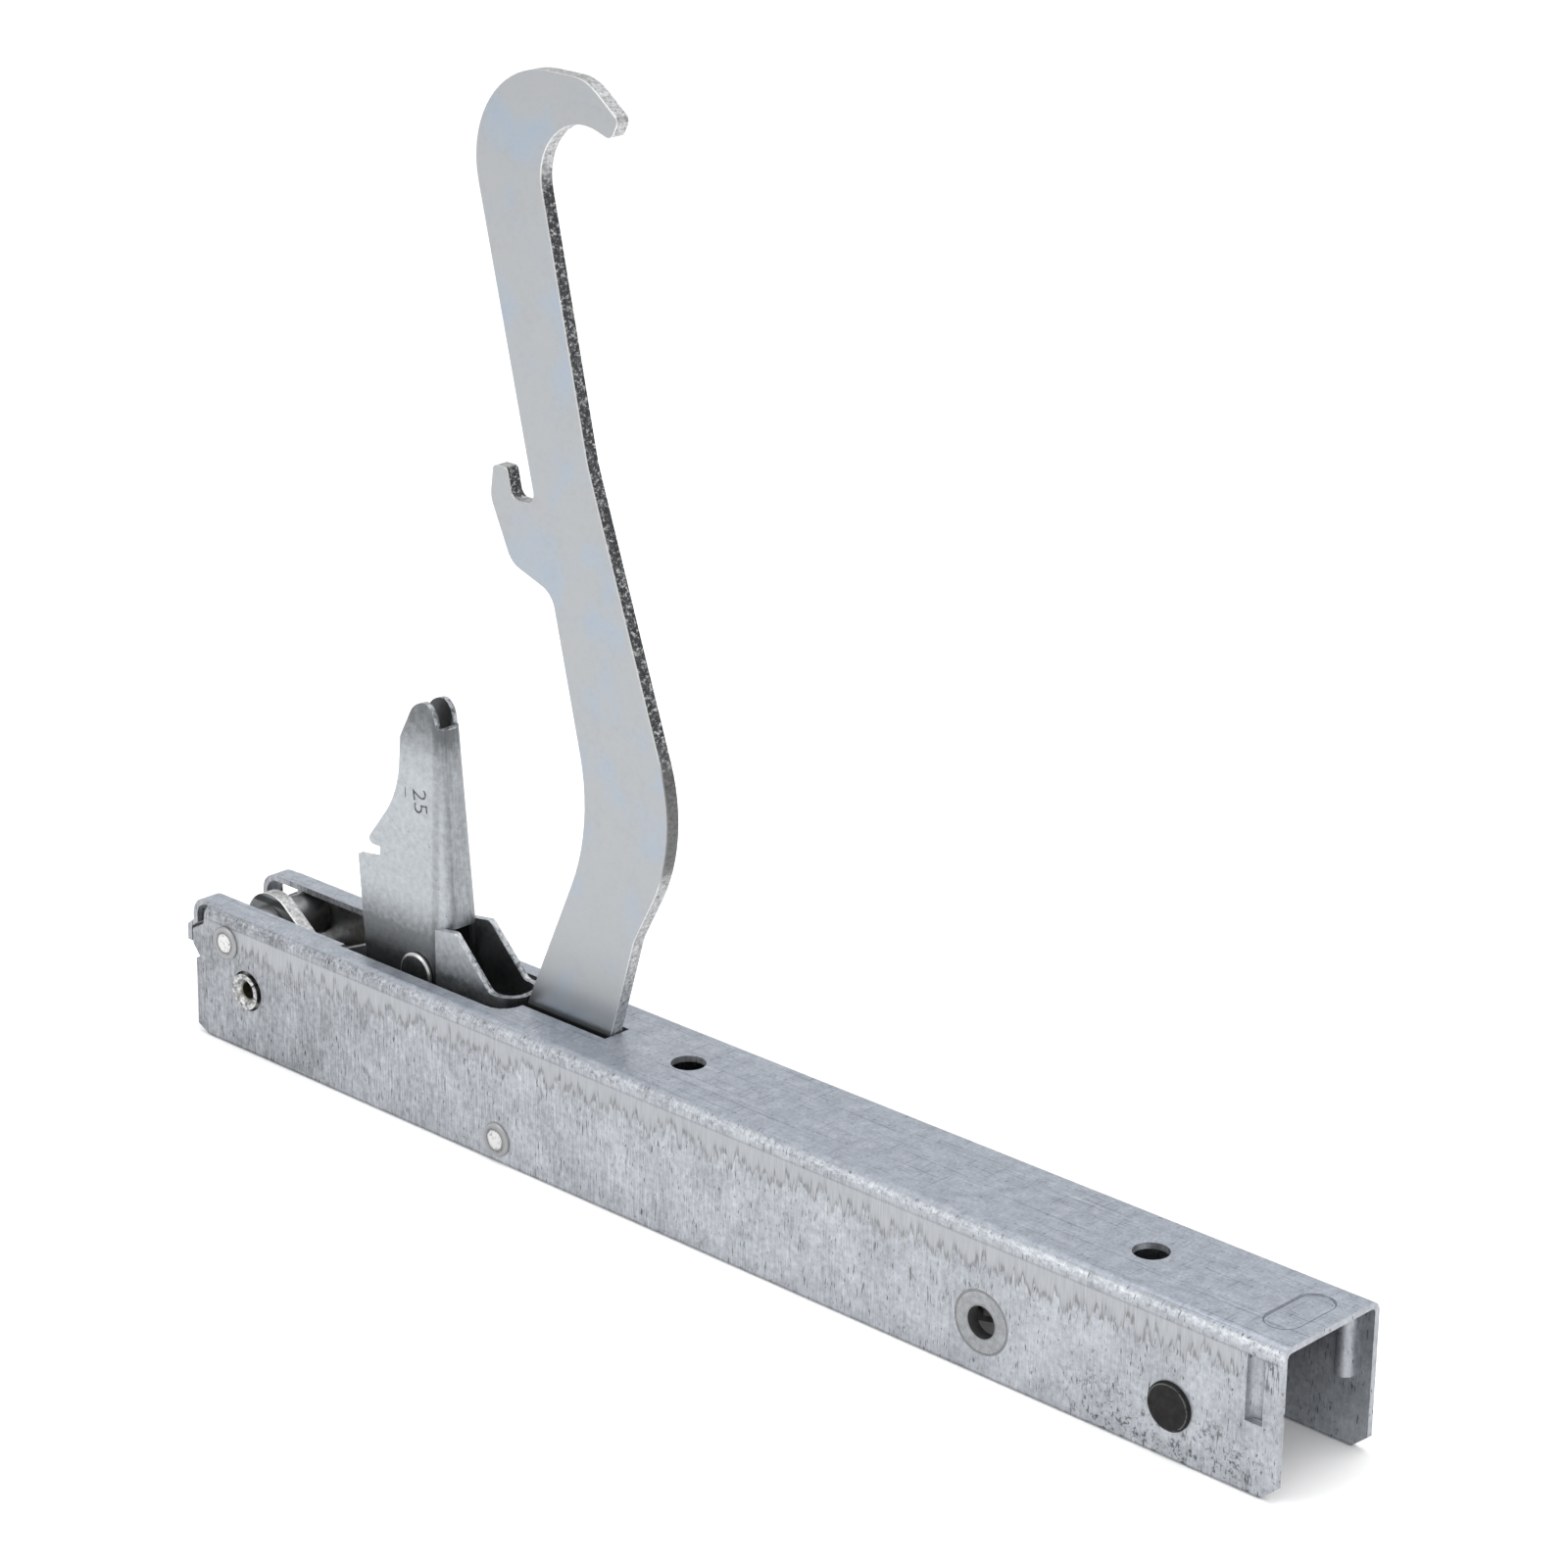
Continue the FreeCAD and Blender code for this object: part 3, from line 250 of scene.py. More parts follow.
# %% Zinc skin on the walls
WALL_SKIN = (12.2, 12.6)
BRUSHED_LENGTH = (WALL_START + 60.0, WALL_START + 250.0)
PIVOT_END = (WALL_START + 5.0, WALL_START + 110.0)
zinc = Finish("galvanised_channel", Metallic=0.8)
on_wall = zinc.normal[1].size().step(0.6, 0.8)
on_web = zinc.normal[2].size().step(0.75, 0.9)
outside = zinc.y.size().step(*WALL_SKIN)

streaks = zinc.drawn((3.9, 1.0, 0.22), 3.0)
clouds = zinc.noise(0.11, 3.0, 0.6)
spangle = zinc.noise(0.9, 2.0, 0.7)
specks = zinc.drawn((2.8, 1.0, 1.1)).step(0.66, 0.74)
ticks = zinc.drawn((3.4, 1.0, 0.45), 1.0, 0.5).step(0.66, 0.74)
brushed = 1 - zinc.x.step(*BRUSHED_LENGTH) * 0.55
# Painted shade: the walls are painted a little darker towards the pivot end.
pivot_end_shade = 1 - zinc.x.step(*PIVOT_END)
skin = streaks.swing(0.46) * brushed + spangle.swing(0.3) + clouds.swing(0.26) + 0.02
skin = skin - specks * 0.26 - ticks * 0.3 - pivot_end_shade * 0.08
print("zinc skin starts at", round(WALL_START, 1), "mm along X")

# %% [markdown]
# ### The rubbed band and its fringe
# The band runs along both walls between a crease just under the bend and a ragged lower edge. The
# edge is a height that changes along X: long soft steps, plus narrow fingers, plus a row of teeth.
# Comparing each point's height with that edge gives a mask, which smooths and darkens the zinc.

# %% Rubbed band
BAND_TOP = channel_high.z - 3.0
BAND_LOW = channel_high.z - 7.6
BAND_START = WALL_START + 12.5
BAND_END = WALL_START + 263.0
BAND_FADE = 2.5
slow_edge = zinc.drawn((0.05, 0.0, 0.0), 1.0, 0.5)
fingers = zinc.drawn((0.62, 0.0, 0.07), 3.0, 0.65)
teeth = zinc.drawn((0.8, 0.0, 0.05), 1.0, 0.5).step(0.42, 0.58)
edge = slow_edge.swing(4.0) + fingers.swing(8.0) + teeth.swing(2.4) + BAND_LOW
above = zinc.z - edge
below_top = 1 - zinc.z.step(BAND_TOP - 0.25, BAND_TOP + 0.35)
faded_in = zinc.x.step(BAND_START - BAND_FADE, BAND_START + BAND_FADE)
on_length = faded_in * (zinc.x < BAND_END) * on_wall * outside
band = below_top * above.step(-0.12, 0.12) * on_length
fringe = above.near(0.55, 0.55, 0.6) * on_length
drips = fringe * (1 - streaks.step(0.42, 0.56))
near_fringe = band * (1 - above.step(0.0, 3.0))
crease = zinc.z.near(BAND_TOP, 0.2, 0.4) * on_wall * outside
print("band from", round(BAND_START, 1), "to", round(BAND_END, 1), "mm along X")

# %% [markdown]
# ### Web and bends
# The web's zinc is calmer, and a little lighter beside the slot. Thin scratches follow the channel:
# noise squeezed almost flat along X gives long hair lines, and a few more cross it. The bend was
# burnished bright by the tool, most of all towards the far end.

# %% Web and bends
BEND_START = (25.6, 26.4)
BRIGHT_BEND = (WALL_START + 110.0, WALL_START + 262.0)
SLOT_SIDE = (WALL_START + 95.0, WALL_START + 150.0)
on_bend = (1 - zinc.z.near(channel_high.z, 0.05, 0.1)) * zinc.z.step(*BEND_START) * outside
bend_fleck = zinc.drawn((0.9, 1.6, 1.6), 3.0, 0.7)
bend_light = zinc.x.step(*BRIGHT_BEND)
slot_side = 1 - zinc.x.step(*SLOT_SIDE)
web_tone = zinc.noise(0.35, 4.0, 0.65).swing(0.34) + zinc.noise(1.6, 2.0, 0.6).swing(0.26)
scratches = zinc.drawn((0.03, 2.4, 0.0)).step(0.6, 0.66) * on_web
glints = zinc.drawn((0.05, 1.9, 0.1)).step(0.63, 0.7) * on_web
cross_scuffs = zinc.drawn((1.8, 0.14, 0.0)).step(0.61, 0.68) * on_web
pin_specks = zinc.drawn((1.6, 1.2, 0.0)).step(0.63, 0.7) * on_web
print("bend from", BEND_START[0], "to", round(channel_high.z, 1), "mm up")

# %% [markdown]
# ### Grime, worn end and pressed mark
# Dark grime sits low near the cross pin, the sheared lower edges are darker, and the folded end
# shows a few worn streaks. Near that end an oblong is pressed into the web; its edge is painted as
# a dark line of shade beside a painted highlight. The outline is a distance again: points beside
# the straight part measure only along X, and points past it measure from the centre of the round
# end.

# %% Grime, worn end and pressed mark
GRIME_X = WALL_START + 248.0
WORN_X = WALL_START + 269.8
WORN_Z = 22.5
MARK_X = channel_high.x - 6.7
MARK_RADIUS = 3.3
MARK_STRAIGHT = 4.2
dirt_zone = zinc.x.near(GRIME_X, 20.0, 16.0) * (1 - zinc.z.step(5.0, 13.0))
grime = zinc.noise(0.8, 4.0, 0.75).step(0.53, 0.63) * dirt_zone * outside
low_edge = 1 - zinc.z.step(0.0, 0.5)
end_zone = zinc.x.near(WORN_X, 1.6, 1.0) * zinc.z.near(WORN_Z, 2.8, 1.4)
worn_end = zinc.drawn((3.0, 1.0, 0.3)).step(0.45, 0.6) * end_zone * on_wall * outside

from_mark = zinc.x - MARK_X
past_straight = (zinc.y.size() - MARK_STRAIGHT).math("MAXIMUM", 0.0)
from_centre = (from_mark * from_mark + past_straight * past_straight).math("SQRT")
# Painted shade and painted highlight along the pressed mark's edge.
mark_shade_line = (from_centre - MARK_RADIUS).near(0.1, 0.13, 0.14) * on_web
mark_glint = (from_centre - MARK_RADIUS).near(-0.22, 0.12, 0.14) * on_web
print("mark at", round(MARK_X, 1), "mm along X")

# %% [markdown]
# ### One tone for the whole channel
# Every mask now takes its share from one grey tone, and a ramp turns the tone into a zinc colour.
# A table of masks and strengths is easier to tune than a long sum.

# %% Colour and relief of the zinc
BASE_TONE = 0.56
DARKER_BY = [(near_fringe, 0.07), (crease, 0.09), (fringe, 0.03), (drips, 0.15), (grime, 0.28),
             (low_edge, 0.14), (worn_end, 0.2), (scratches, 0.12), (cross_scuffs, 0.08),
             (pin_specks, 0.14), (mark_shade_line, 0.26)]
LIGHTER_BY = [(glints, 0.07), (mark_glint, 0.14)]
tone = BASE_TONE + skin * (1 - on_web) * (1 - band) + band * streaks.swing(0.26)
tone = tone + on_web * (web_tone + slot_side * 0.035 + 0.03)
tone = tone + on_bend * (bend_fleck.swing(0.6) + bend_light * 0.08 - 0.005)
for mask, strength in DARKER_BY:
    tone = tone - mask * strength
for mask, strength in LIGHTER_BY:
    tone = tone + mask * strength
zinc_colour = zinc.ramp(tone, [(0.0, (0.02, 0.02, 0.022, 1)), (0.35, (0.15, 0.155, 0.165, 1)),
                               (0.6, (0.40, 0.42, 0.45, 1)), (0.85, (0.7, 0.72, 0.75, 1))])
zinc_colour = zinc.coats(zinc_colour, (on_web * 0.14, (0.26, 0.36, 0.56, 1)),
                         (band * 0.3, (0.37, 0.37, 0.372, 1)))
roughness = 0.48 + spangle.swing(0.2) - band * 0.08 - on_web * 0.08 + on_bend * 0.1
grain = (streaks * 0.6 + spangle * 0.6 - specks * 0.4) * (1 - band * 0.8) * (1 - on_web * 0.7)
zinc.wear(Base_Color=zinc_colour, Roughness=roughness, Normal=zinc.dents(grain, 0.35, 0.12))
zinc.put_on("channel")

# %% [markdown]
# ## Bright zinc on the arm
# The arm was blanked from thick plate, so its faces are smooth. The plating is bright with faint
# blue clouds. Its face is painted darker towards the foot, and a thin dark line across the foot is
# painted shade for the gap of the slot.
# All of this is layers of colour over one another, each with a mask as its share.

# %% Arm faces
FOOT = (26.0, 50.0)
SLOT_GAP_SHADE_Z = channel_high.z - 0.9
plate = Finish("plated_arm", Metallic=0.85)
on_face = plate.normal[1].size().step(0.7, 0.9)
haze = plate.noise(0.12, 3.0, 0.6)
fine = plate.noise(0.9, 3.0, 0.6)
scuff = plate.drawn((0.5, 1.0, 0.35)).step(0.68, 0.8)
dots = 1 - plate.cells(0.45).step(0.02, 0.09)
blue_cloud = plate.noise(0.09, 2.0, 0.5).step(0.45, 0.75)
# The face grows darker towards the foot.
foot = 1 - plate.z.step(*FOOT)
# Painted shade: a thin dark line for the slot's gap, carried on the arm.
slot_gap_shade = plate.z.near(SLOT_GAP_SHADE_Z, 0.75, 0.5)
face_colour = plate.coats(plate.mix(blue_cloud, grey(0.366, 0.03), (0.318, 0.366, 0.428, 1)),
                          (fine.swing(0.5) + haze.swing(0.4) + scuff * 0.12, grey(0.26)),
                          (dots * 0.3, grey(0.18)),
                          (foot * 0.45, grey(0.2, 0.04)),
                          (slot_gap_shade * 0.85, grey(0.03)))
print("slot line at", round(SLOT_GAP_SHADE_Z, 1), "mm up")

# %% [markdown]
# ### The torn rim
# A shear press leaves a rolled strip near one face and a dark broken strip behind it. The rolled
# strip is painted bright, partly its own burnished metal and partly a painted highlight for its
# rounded edge. The direction of the surface tells the rim from the faces. Where the back of the
# rim faces along X it is painted dark over part of its length, as a painted dark reflection, and
# the nose of the hook is dark too.

# %% Arm rim
DARK_FROM = (74.0, 90.0)
DARK_TO = (184.0, 191.0)
ROLLED_Y = -1.35
NOSE = (arm_high.x - 2.6, arm_high.x - 0.8)
torn = plate.drawn((1.4, 1.0, 1.4), 4.0, 0.8)
# Bright rolled strip: partly burnish, partly a painted highlight for the rounded edge.
rolled_strip_and_highlight = plate.y.near(ROLLED_Y, 0.22, 0.2)
hook_nose = plate.x.step(*NOSE)
dark_length = plate.z.step(*DARK_FROM) * (1 - plate.z.step(*DARK_TO))
# Painted dark reflection on the rim's back, where it faces along X.
back_dark_reflection = dark_length * plate.normal[0].step(0.2, 0.5)
rim_dark_reflection = plate.ramp(torn, [(0.3, grey(0.025, 0.05)), (0.52, grey(0.07, 0.06)),
                             (0.62, grey(0.45)), (0.72, grey(0.8))])
rim_light = plate.ramp(torn, [(0.3, grey(0.08)), (0.45, grey(0.34, 0.02)),
                              (0.62, grey(0.55)), (0.74, grey(0.85))])
rim_colour = plate.coats(plate.mix(back_dark_reflection, rim_light, rim_dark_reflection),
                         (rolled_strip_and_highlight * 0.8, grey(0.75)), (hook_nose * 0.8, grey(0.06)))
arm_rough = 0.3 + fine.swing(0.12) + (1 - on_face) * 0.08
rim_relief = torn * (1 - on_face) + fine * 0.06
plate.wear(Base_Color=plate.mix(on_face, rim_colour, face_colour), Roughness=arm_rough,
           Normal=plate.dents(rim_relief, 0.5, 0.25))
plate.put_on("hook_arm")

# %% [markdown]
# ## Satin zinc on the catch
# The catch was folded from thin sheet. Three numbers tell a point's place in the fold: how far
# it lies inside the outer walls, how far in front of the back, and how its surface faces. They
# give the inside, which is painted dark as shade, the ear that stands out from the wall, and the
# sheared rims, which are painted bright as a highlight where they look up.

# %% Parts of the catch
CATCH_HALF = 4.27
CATCH_LEAN = 0.0256
CATCH_SHEET = 1.2
CATCH_BACK = 9.8
CATCH_TAPER = 0.0762
CROWN_RIM_Z = (76.6, 76.9)
satin = Finish("plated_catch", Metallic=0.85)
rise = satin.z - catch_axis.z
depth_in = CATCH_HALF - rise * CATCH_LEAN - satin.y.size()
from_back = CATCH_BACK - rise * CATCH_TAPER - (satin.x - catch_axis.x)
# Painted shade: the inside of the fold.
inside_shade = depth_in.step(1.0, 1.15) * from_back.step(0.95, 1.1)
ear = (-depth_in).step(0.15, 0.4)
catch_face = satin.normal[1].size().step(0.7, 0.9)
# Painted shade on faces turned along X.
back_side_shade = satin.normal[0].step(0.4, 0.8)
on_rim = 1 - satin.normal[1].size().step(0.5, 0.7)
looks_up = satin.normal[2].step(0.15, 0.35) + satin.z.step(*CROWN_RIM_Z)
# Painted highlight: sheared rims that face up.
upward_rim_highlight = on_rim * looks_up.math("MINIMUM", 1.0)
print("catch turns at", [round(v, 1) for v in catch_axis])

# %% [markdown]
# Over that map go the marks. A darker upright line is painted as shade where the fold starts to
# round, handling left fine specks, and the lower end is painted dark, partly for grease and partly
# as a painted dark reflection. The back is painted a little darker as shade. A short dash is
# stamped beside the number, which comes later.

# %% Catch
FOLD_SHADE_X = catch_axis.x + 4.9
DASH_X = catch_axis.x - 3.7
DASH_Z = 62.4
GREASE_AND_REFLECTION = (28.0, 43.0)
CROWN_SHADE = (67.0, 80.0)
CATCH_TONE = 0.555
catch_fleck = satin.noise(0.8, 4.0, 0.65)
catch_streak = satin.drawn((2.2, 2.2, 0.12), 3.0)
catch_speck = satin.noise(1.5, 2.0, 0.6).step(0.68, 0.76)
rim_fleck = satin.noise(1.1, 3.0, 0.7).step(0.3, 0.6)
# Painted shade where the fold starts to round.
fold_shade_line = satin.x.near(FOLD_SHADE_X, 0.9, 1.2) * catch_face
dash = satin.x.near(DASH_X, 0.13, 0.1) * satin.z.near(DASH_Z, 1.1, 0.3) * catch_face
# Darker low end: grease and a painted dark reflection.
grease_and_reflection = (1 - satin.z.step(*GREASE_AND_REFLECTION)) * (1 - ear * 0.5)
crown_shade = satin.z.step(*CROWN_SHADE)
catch_tone = CATCH_TONE + catch_fleck.swing(0.24) + catch_streak.swing(0.2) * (1 - catch_face)
for mask, strength in [(fold_shade_line, 0.07), (catch_speck, 0.14), (grease_and_reflection, 0.34),
                       (crown_shade, 0.2), (back_side_shade, 0.07), (dash, 0.2)]:
    catch_tone = catch_tone - mask * strength
catch_tone = catch_tone * (1 - inside_shade * 0.62) + upward_rim_highlight * rim_fleck * 0.3
catch_colour = satin.ramp(catch_tone, [(0.0, grey(0.02)), (0.35, grey(0.14, 0.05)),
                                       (0.6, grey(0.46, 0.055)), (0.85, grey(0.72, 0.03))])
satin.wear(Base_Color=catch_colour, Roughness=0.36 + catch_fleck.swing(0.2),
           Normal=satin.dents(catch_fleck, 0.25, 0.08))
satin.put_on("catch")

# %% [markdown]
# ### Crowns of the catch
# Both walls of the catch end in a rounded crown. The model leaves the back edge of each crown
# straight, so a thin slice fills the room between that edge and the arch. Its outline is part of an
# ellipse and its two faces follow the wall's lean, so the slice continues the sheet. Moving the
# model's own points would be the other way, but the model is shared and stays as it is.

# %% Rounded crowns
CROWN_EDGE = [(1.96, 55.1), (2.31, 54.88), (3.72, 52.12)]
CROWN_FOOT = Vector((4.5, 50.6))
CROWN_MIDDLE = Vector((1.0, 50.6))
CROWN_HEIGHT = 4.68
CROWN_STEPS = 12
BEND_IN = 0.105


def crown_outline():
    """The arch from its foot up to the flat top, then back down the straight edge."""
    width = CROWN_FOOT.x - CROWN_MIDDLE.x
    top_turn = math.acos((CROWN_EDGE[0][0] - CROWN_MIDDLE.x) / width)
    arch = []
    for step in range(CROWN_STEPS):
        turn = top_turn * step / CROWN_STEPS
        arch.append((CROWN_MIDDLE.x + width * math.cos(turn),
                     CROWN_MIDDLE.y + CROWN_HEIGHT * math.sin(turn)))
    return arch + CROWN_EDGE


def crown_slice(side):
    """Corners and faces of one slice. Side is -1 for the near wall and 1 for the far one."""
    outline = crown_outline()
    count = len(outline)
    edge_foot = CROWN_EDGE[-1][0]
    corners = []
    for inset in (0.0, CATCH_SHEET):
        for along, up in outline:
            past_edge = max(0.0, (along - edge_foot) / (CROWN_FOOT.x - edge_foot))
            across = CATCH_HALF - up * CATCH_LEAN - BEND_IN * past_edge - inset
            corners.append(Vector((catch_axis.x + along, side * across, catch_axis.z + up)) * MM)
    sides = [(i, (i + 1) % count, count + (i + 1) % count, count + i) for i in range(count)]
    outer = tuple(range(count))
    inner = tuple(range(2 * count - 1, count - 1, -1))
    return corners, [outer, inner, *sides]


crown_corners = []
crown_faces = []
for side in (-1, 1):
    corners, faces = crown_slice(side)
    crown_faces += [tuple(len(crown_corners) + i for i in face) for face in faces]
    crown_corners += corners
crown_mesh = bpy.data.meshes.new("catch_crowns")
crown_mesh.from_pydata(crown_corners, [], crown_faces)
solid = bmesh.new()
solid.from_mesh(crown_mesh)
bmesh.ops.recalc_face_normals(solid, faces=solid.faces)
solid.to_mesh(crown_mesh)
solid.free()
crowns = bpy.data.objects.new("catch_crowns", crown_mesh)
bpy.context.scene.collection.objects.link(crowns)
crown_mesh.materials.append(satin.material)
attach(crowns, "lever")
print("crowns have", len(crown_mesh.polygons), "faces")


# %% [markdown]
# ## Rivet ends
# A rivet's end is closed by a punch. The pivot and lower rivets show a smooth ring round a
# whitish, bumpy middle. Each head needs the distance from its own axis, so one function makes the
# finish for one rivet: the square root of two squares is that distance.

# %% Peened rivets
PUNCH_RADIUS = 1.95


def ring_distance(finish, centre):
    """Distance from an axis along Y, in millimetres."""
    along, up = finish.x - centre.x, finish.z - centre.z
    return (along * along + up * up).math("SQRT")


def peened(name, node, jag):
    """A rivet end with a punched middle. Jag is how far the middle's edge wanders."""
    finish = Finish(name, Metallic=0.85, Roughness=0.5)
    distance = ring_distance(finish, middle_mm(node))
    lumps = finish.noise(1.3, 3.0, 0.7)
    ragged = distance + lumps.swing(jag)
    middle = 1 - ragged.step(PUNCH_RADIUS - 0.25, PUNCH_RADIUS + 0.25)
    groove = ragged.near(PUNCH_RADIUS + 0.15, 0.16, 0.2)
    rim = distance.step(PUNCH_RADIUS + 0.7, PUNCH_RADIUS + 1.0)
    middle_colour = finish.mix(lumps.step(0.3, 0.5), grey(0.26), grey(0.66))
    colour = finish.coats(grey(0.3, 0.02), (middle, middle_colour), (groove * 0.65, grey(0.13)),
                          (rim * 0.5, grey(0.4)))
    height = middle * lumps * 0.9 - groove * 0.5 + finish.noise(1.1) * 0.15
    finish.wear(Base_Color=colour, Normal=finish.dents(height, 0.8, 0.3))
    finish.put_on(node)


peened("rivet_steel_pivot", "arm_pivot_rivet", 0.8)
peened("rivet_steel_lower", "lower_rivet", 1.4)

# %% [markdown]
# The catch turns on a pin whose flat head is dark, with a bright turned rim. The cross pin at the
# far end is black oxide with a worn light line on its bevel. Both are a ring on a plain disc, so
# one function makes them.

# %% Catch pin and black cross pin
def banded(name, node, disc, rim, ring, worn, **constants):
    """A dark disc with a ring from one radius to another, worn through here and there."""
    finish = Finish(name, **constants)
    start, end = ring
    distance = ring_distance(finish, middle_mm(node))
    patchy = finish.noise(0.6, 4.0, 0.7)
    kept = patchy.step(0.5 - worn, 0.62 - worn)
    on_ring = distance.near((start + end) / 2, (end - start) / 2, 0.12) * kept
    pits = finish.noise(1.6, 2.0, 0.6).step(0.68, 0.76)
    colour = finish.coats(disc, (patchy.step(0.35, 0.75) * 0.12, rim), (on_ring, rim),
                          (pits * 0.12, grey(0.3)))
    finish.wear(Base_Color=colour, Normal=finish.dents(patchy, 0.3, 0.1))
    finish.put_on(node)


banded("catch_rivet", "catch_pin", disc=grey(0.1, 0.05), rim=grey(0.62), ring=(3.75, 4.4),
       worn=0.3, Metallic=0.9, Roughness=0.3)
banded("black_steel", "anchor_pin", disc=grey(0.007), rim=grey(0.09), ring=(3.98, 4.2),
       worn=0.1, Metallic=0.0, Roughness=0.55, Specular_IOR_Level=0.15)

# %% [markdown]
# ## Hollow rivets
# A hollow rivet is spread outwards by a cone, and its thin rim often splits: two short dark
# cracks run across the flare. A crack is the product of two masks: one for points close to a line
# through the middle, and one for points far enough along it.

# %% Hollow rivets
BORE_EDGE = (1.75, 2.1)


def split_rim(node, angles):
    """A flared rim with one crack at each angle, in degrees from X towards Z."""
    finish = Finish("hollow_rivet_steel", Metallic=0.9, Roughness=0.32)
    centre = middle_mm(node)
    along, up = finish.x - centre.x, finish.z - centre.z
    lumps = finish.noise(1.2, 3.0, 0.6)
    bore = 1 - ring_distance(finish, centre).step(*BORE_EDGE)
    colour = finish.coats(grey(0.14, 0.02), (lumps.step(0.3, 0.7), grey(0.6)),
                          (bore, (0.16, 0.155, 0.11, 1)))
    for angle in angles:
        turn = math.radians(angle)
        beside = along * math.sin(turn) - up * math.cos(turn)
        ahead = along * math.cos(turn) + up * math.sin(turn)
        crack = beside.near(0.0, 0.12, 0.1) * ahead.step(1.8, 2.0)
        colour = finish.mix(crack, colour, grey(0.02))
    finish.wear(Base_Color=colour, Normal=finish.dents(lumps, 0.4, 0.15))
    finish.put_on(node)


split_rim("hollow_rivet_near", (38, -12))
split_rim("hollow_rivet_far", (142, 200))

# %% [markdown]
# ## Pressed bushes
# The bushes are turned and pressed flush, so only a fine circle shows round each of them, and the
# bore is painted darker as shade in the hole. They are a little darker than the wall, and smoother.
# Both lie on one axis, so one finish serves both.

# %% Pressed bushes
BUSH_RADIUS = 5.75
BUSH_BORE = (3.2, 3.5)
turned = Finish("bush_steel", Metallic=0.85)
bush_distance = ring_distance(turned, middle_mm("mounting_bush_near"))
bush_fleck = turned.noise(0.9, 3.0, 0.65)
# Fine dark circle at the pressed joint, and painted shade in the bore.
joint_line_and_bore_shade = bush_distance.near(BUSH_RADIUS, 0.1, 0.12) + (1 - bush_distance.step(*BUSH_BORE)) * 0.5
bush_speck = turned.drawn((2.4, 1.0, 1.2)).step(0.62, 0.72)
bush_colour = turned.coats(grey(0.35, 0.03), (bush_fleck.swing(2.0) + 0.4, grey(0.22, 0.03)),
                           (bush_speck * 0.5, grey(0.15)), (joint_line_and_bore_shade, grey(0.14)))
turned.wear(Base_Color=bush_colour, Roughness=0.42 + bush_fleck.swing(0.2),
            Normal=turned.dents(bush_fleck, 0.25, 0.1))
turned.put_on("mounting_bush_near", "mounting_bush_far")


# %% [markdown]
# ## The pieces inside
# Plates, blocks and sleeves inside the channel are plain steel with a thin, uneven coat of grease.
# The spring is oiled and darker, and the roller is ground and brighter. One function makes all
# three, because only tone and roughness differ.

# %% Greased steel
def greased(name, tone, rough, *nodes):
    """Plain steel under a smeared film that halves its tone where it is thick."""
    finish = Finish(name, Metallic=0.9)
    smear = finish.noise(0.25, 3.0, 0.6)
    mill = finish.drawn((0.3, 2.0, 2.0))
    film = (tone * 0.5, tone * 0.48, tone * 0.44, 1)
    colour = finish.mix(smear.step(0.35, 0.7), grey(tone, 0.02), film)
    finish.wear(Base_Color=colour, Roughness=rough + smear.swing(0.2),
                Normal=finish.dents(mill, 0.15, 0.05))
    finish.put_on(*nodes)


greased("inner_steel", 0.3, 0.34, "catch_washer_near", "catch_washer_far", "pivot_spacer_near",
        "pivot_spacer_far", "cheek_near", "cheek_far", "guide_bush_near", "guide_bush_far",
        "roller_axle", "slide_bar_near", "slide_bar_far", "thrust_block", "thrust_pin", "guide_rod",
        "rear_spring_seat")
greased("spring_steel", 0.26, 0.3, "spring")
greased("roller_steel", 0.55, 0.22, "cam_roller")

# %% [markdown]
# ## The number on the catch
# Two small figures are stamped in the catch's near side. They read downwards. A text object gives
# clean strokes without drawing each one: it is turned into a mesh, laid on the sloping wall, and
# left proud by a few hundredths of a millimetre so that the dark strokes don't flicker.

# %% Stamped figures
NUMBER_RISE = 35.1
NUMBER_SHIFT = 0.3
NUMBER_PROUD = 0.03
FIGURE_HEIGHT = 3.8
FIGURE_TILT = math.radians(8.0)
FONT_PER_HEIGHT = 1.42
STROKE_THINNER = 0.06


def stamp(text, spot):
    """A number laid on the catch's near wall, reading downwards."""
    curve = bpy.data.curves.new("catch_number", "FONT")
    curve.body = text
    curve.size = FIGURE_HEIGHT * FONT_PER_HEIGHT * MM
    curve.offset = -STROKE_THINNER * MM
    curve.align_x = "CENTER"
    curve.align_y = "CENTER"
    curve.resolution_u = 4
    raised = bpy.data.objects.new("catch_number", curve)
    bpy.context.scene.collection.objects.link(raised)
    facing = Matrix.Rotation(math.pi / 2 - math.atan(CATCH_LEAN), 4, "X")
    reading = Matrix.Rotation(FIGURE_TILT - math.pi / 2, 4, "Z")
    raised.matrix_world = Matrix.Translation(Vector(spot) * MM) @ facing @ reading
    bpy.context.view_layer.update()
    mesh = bpy.data.meshes.new_from_object(raised)
    mesh.transform(raised.matrix_world)
    figures = bpy.data.objects.new("catch_figures", mesh)
    bpy.context.scene.collection.objects.link(figures)
    bpy.data.objects.remove(raised)
    return figures


wall_y = -(CATCH_HALF - CATCH_LEAN * NUMBER_RISE)
figures = stamp("25", (catch_axis.x + NUMBER_SHIFT, wall_y - NUMBER_PROUD,
                       catch_axis.z + NUMBER_RISE))
ink = Finish("plated_catch_stamp", Metallic=0.7, Roughness=0.5)
ink_noise = ink.noise(1.5, 2.0, 0.6)
ink.wear(Base_Color=ink.mix(ink_noise.step(0.4, 0.6), grey(0.05), grey(0.16)))
figures.data.materials.clear()
figures.data.materials.append(ink.material)
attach(figures, "lever")
print("number has", len(figures.data.polygons), "faces")

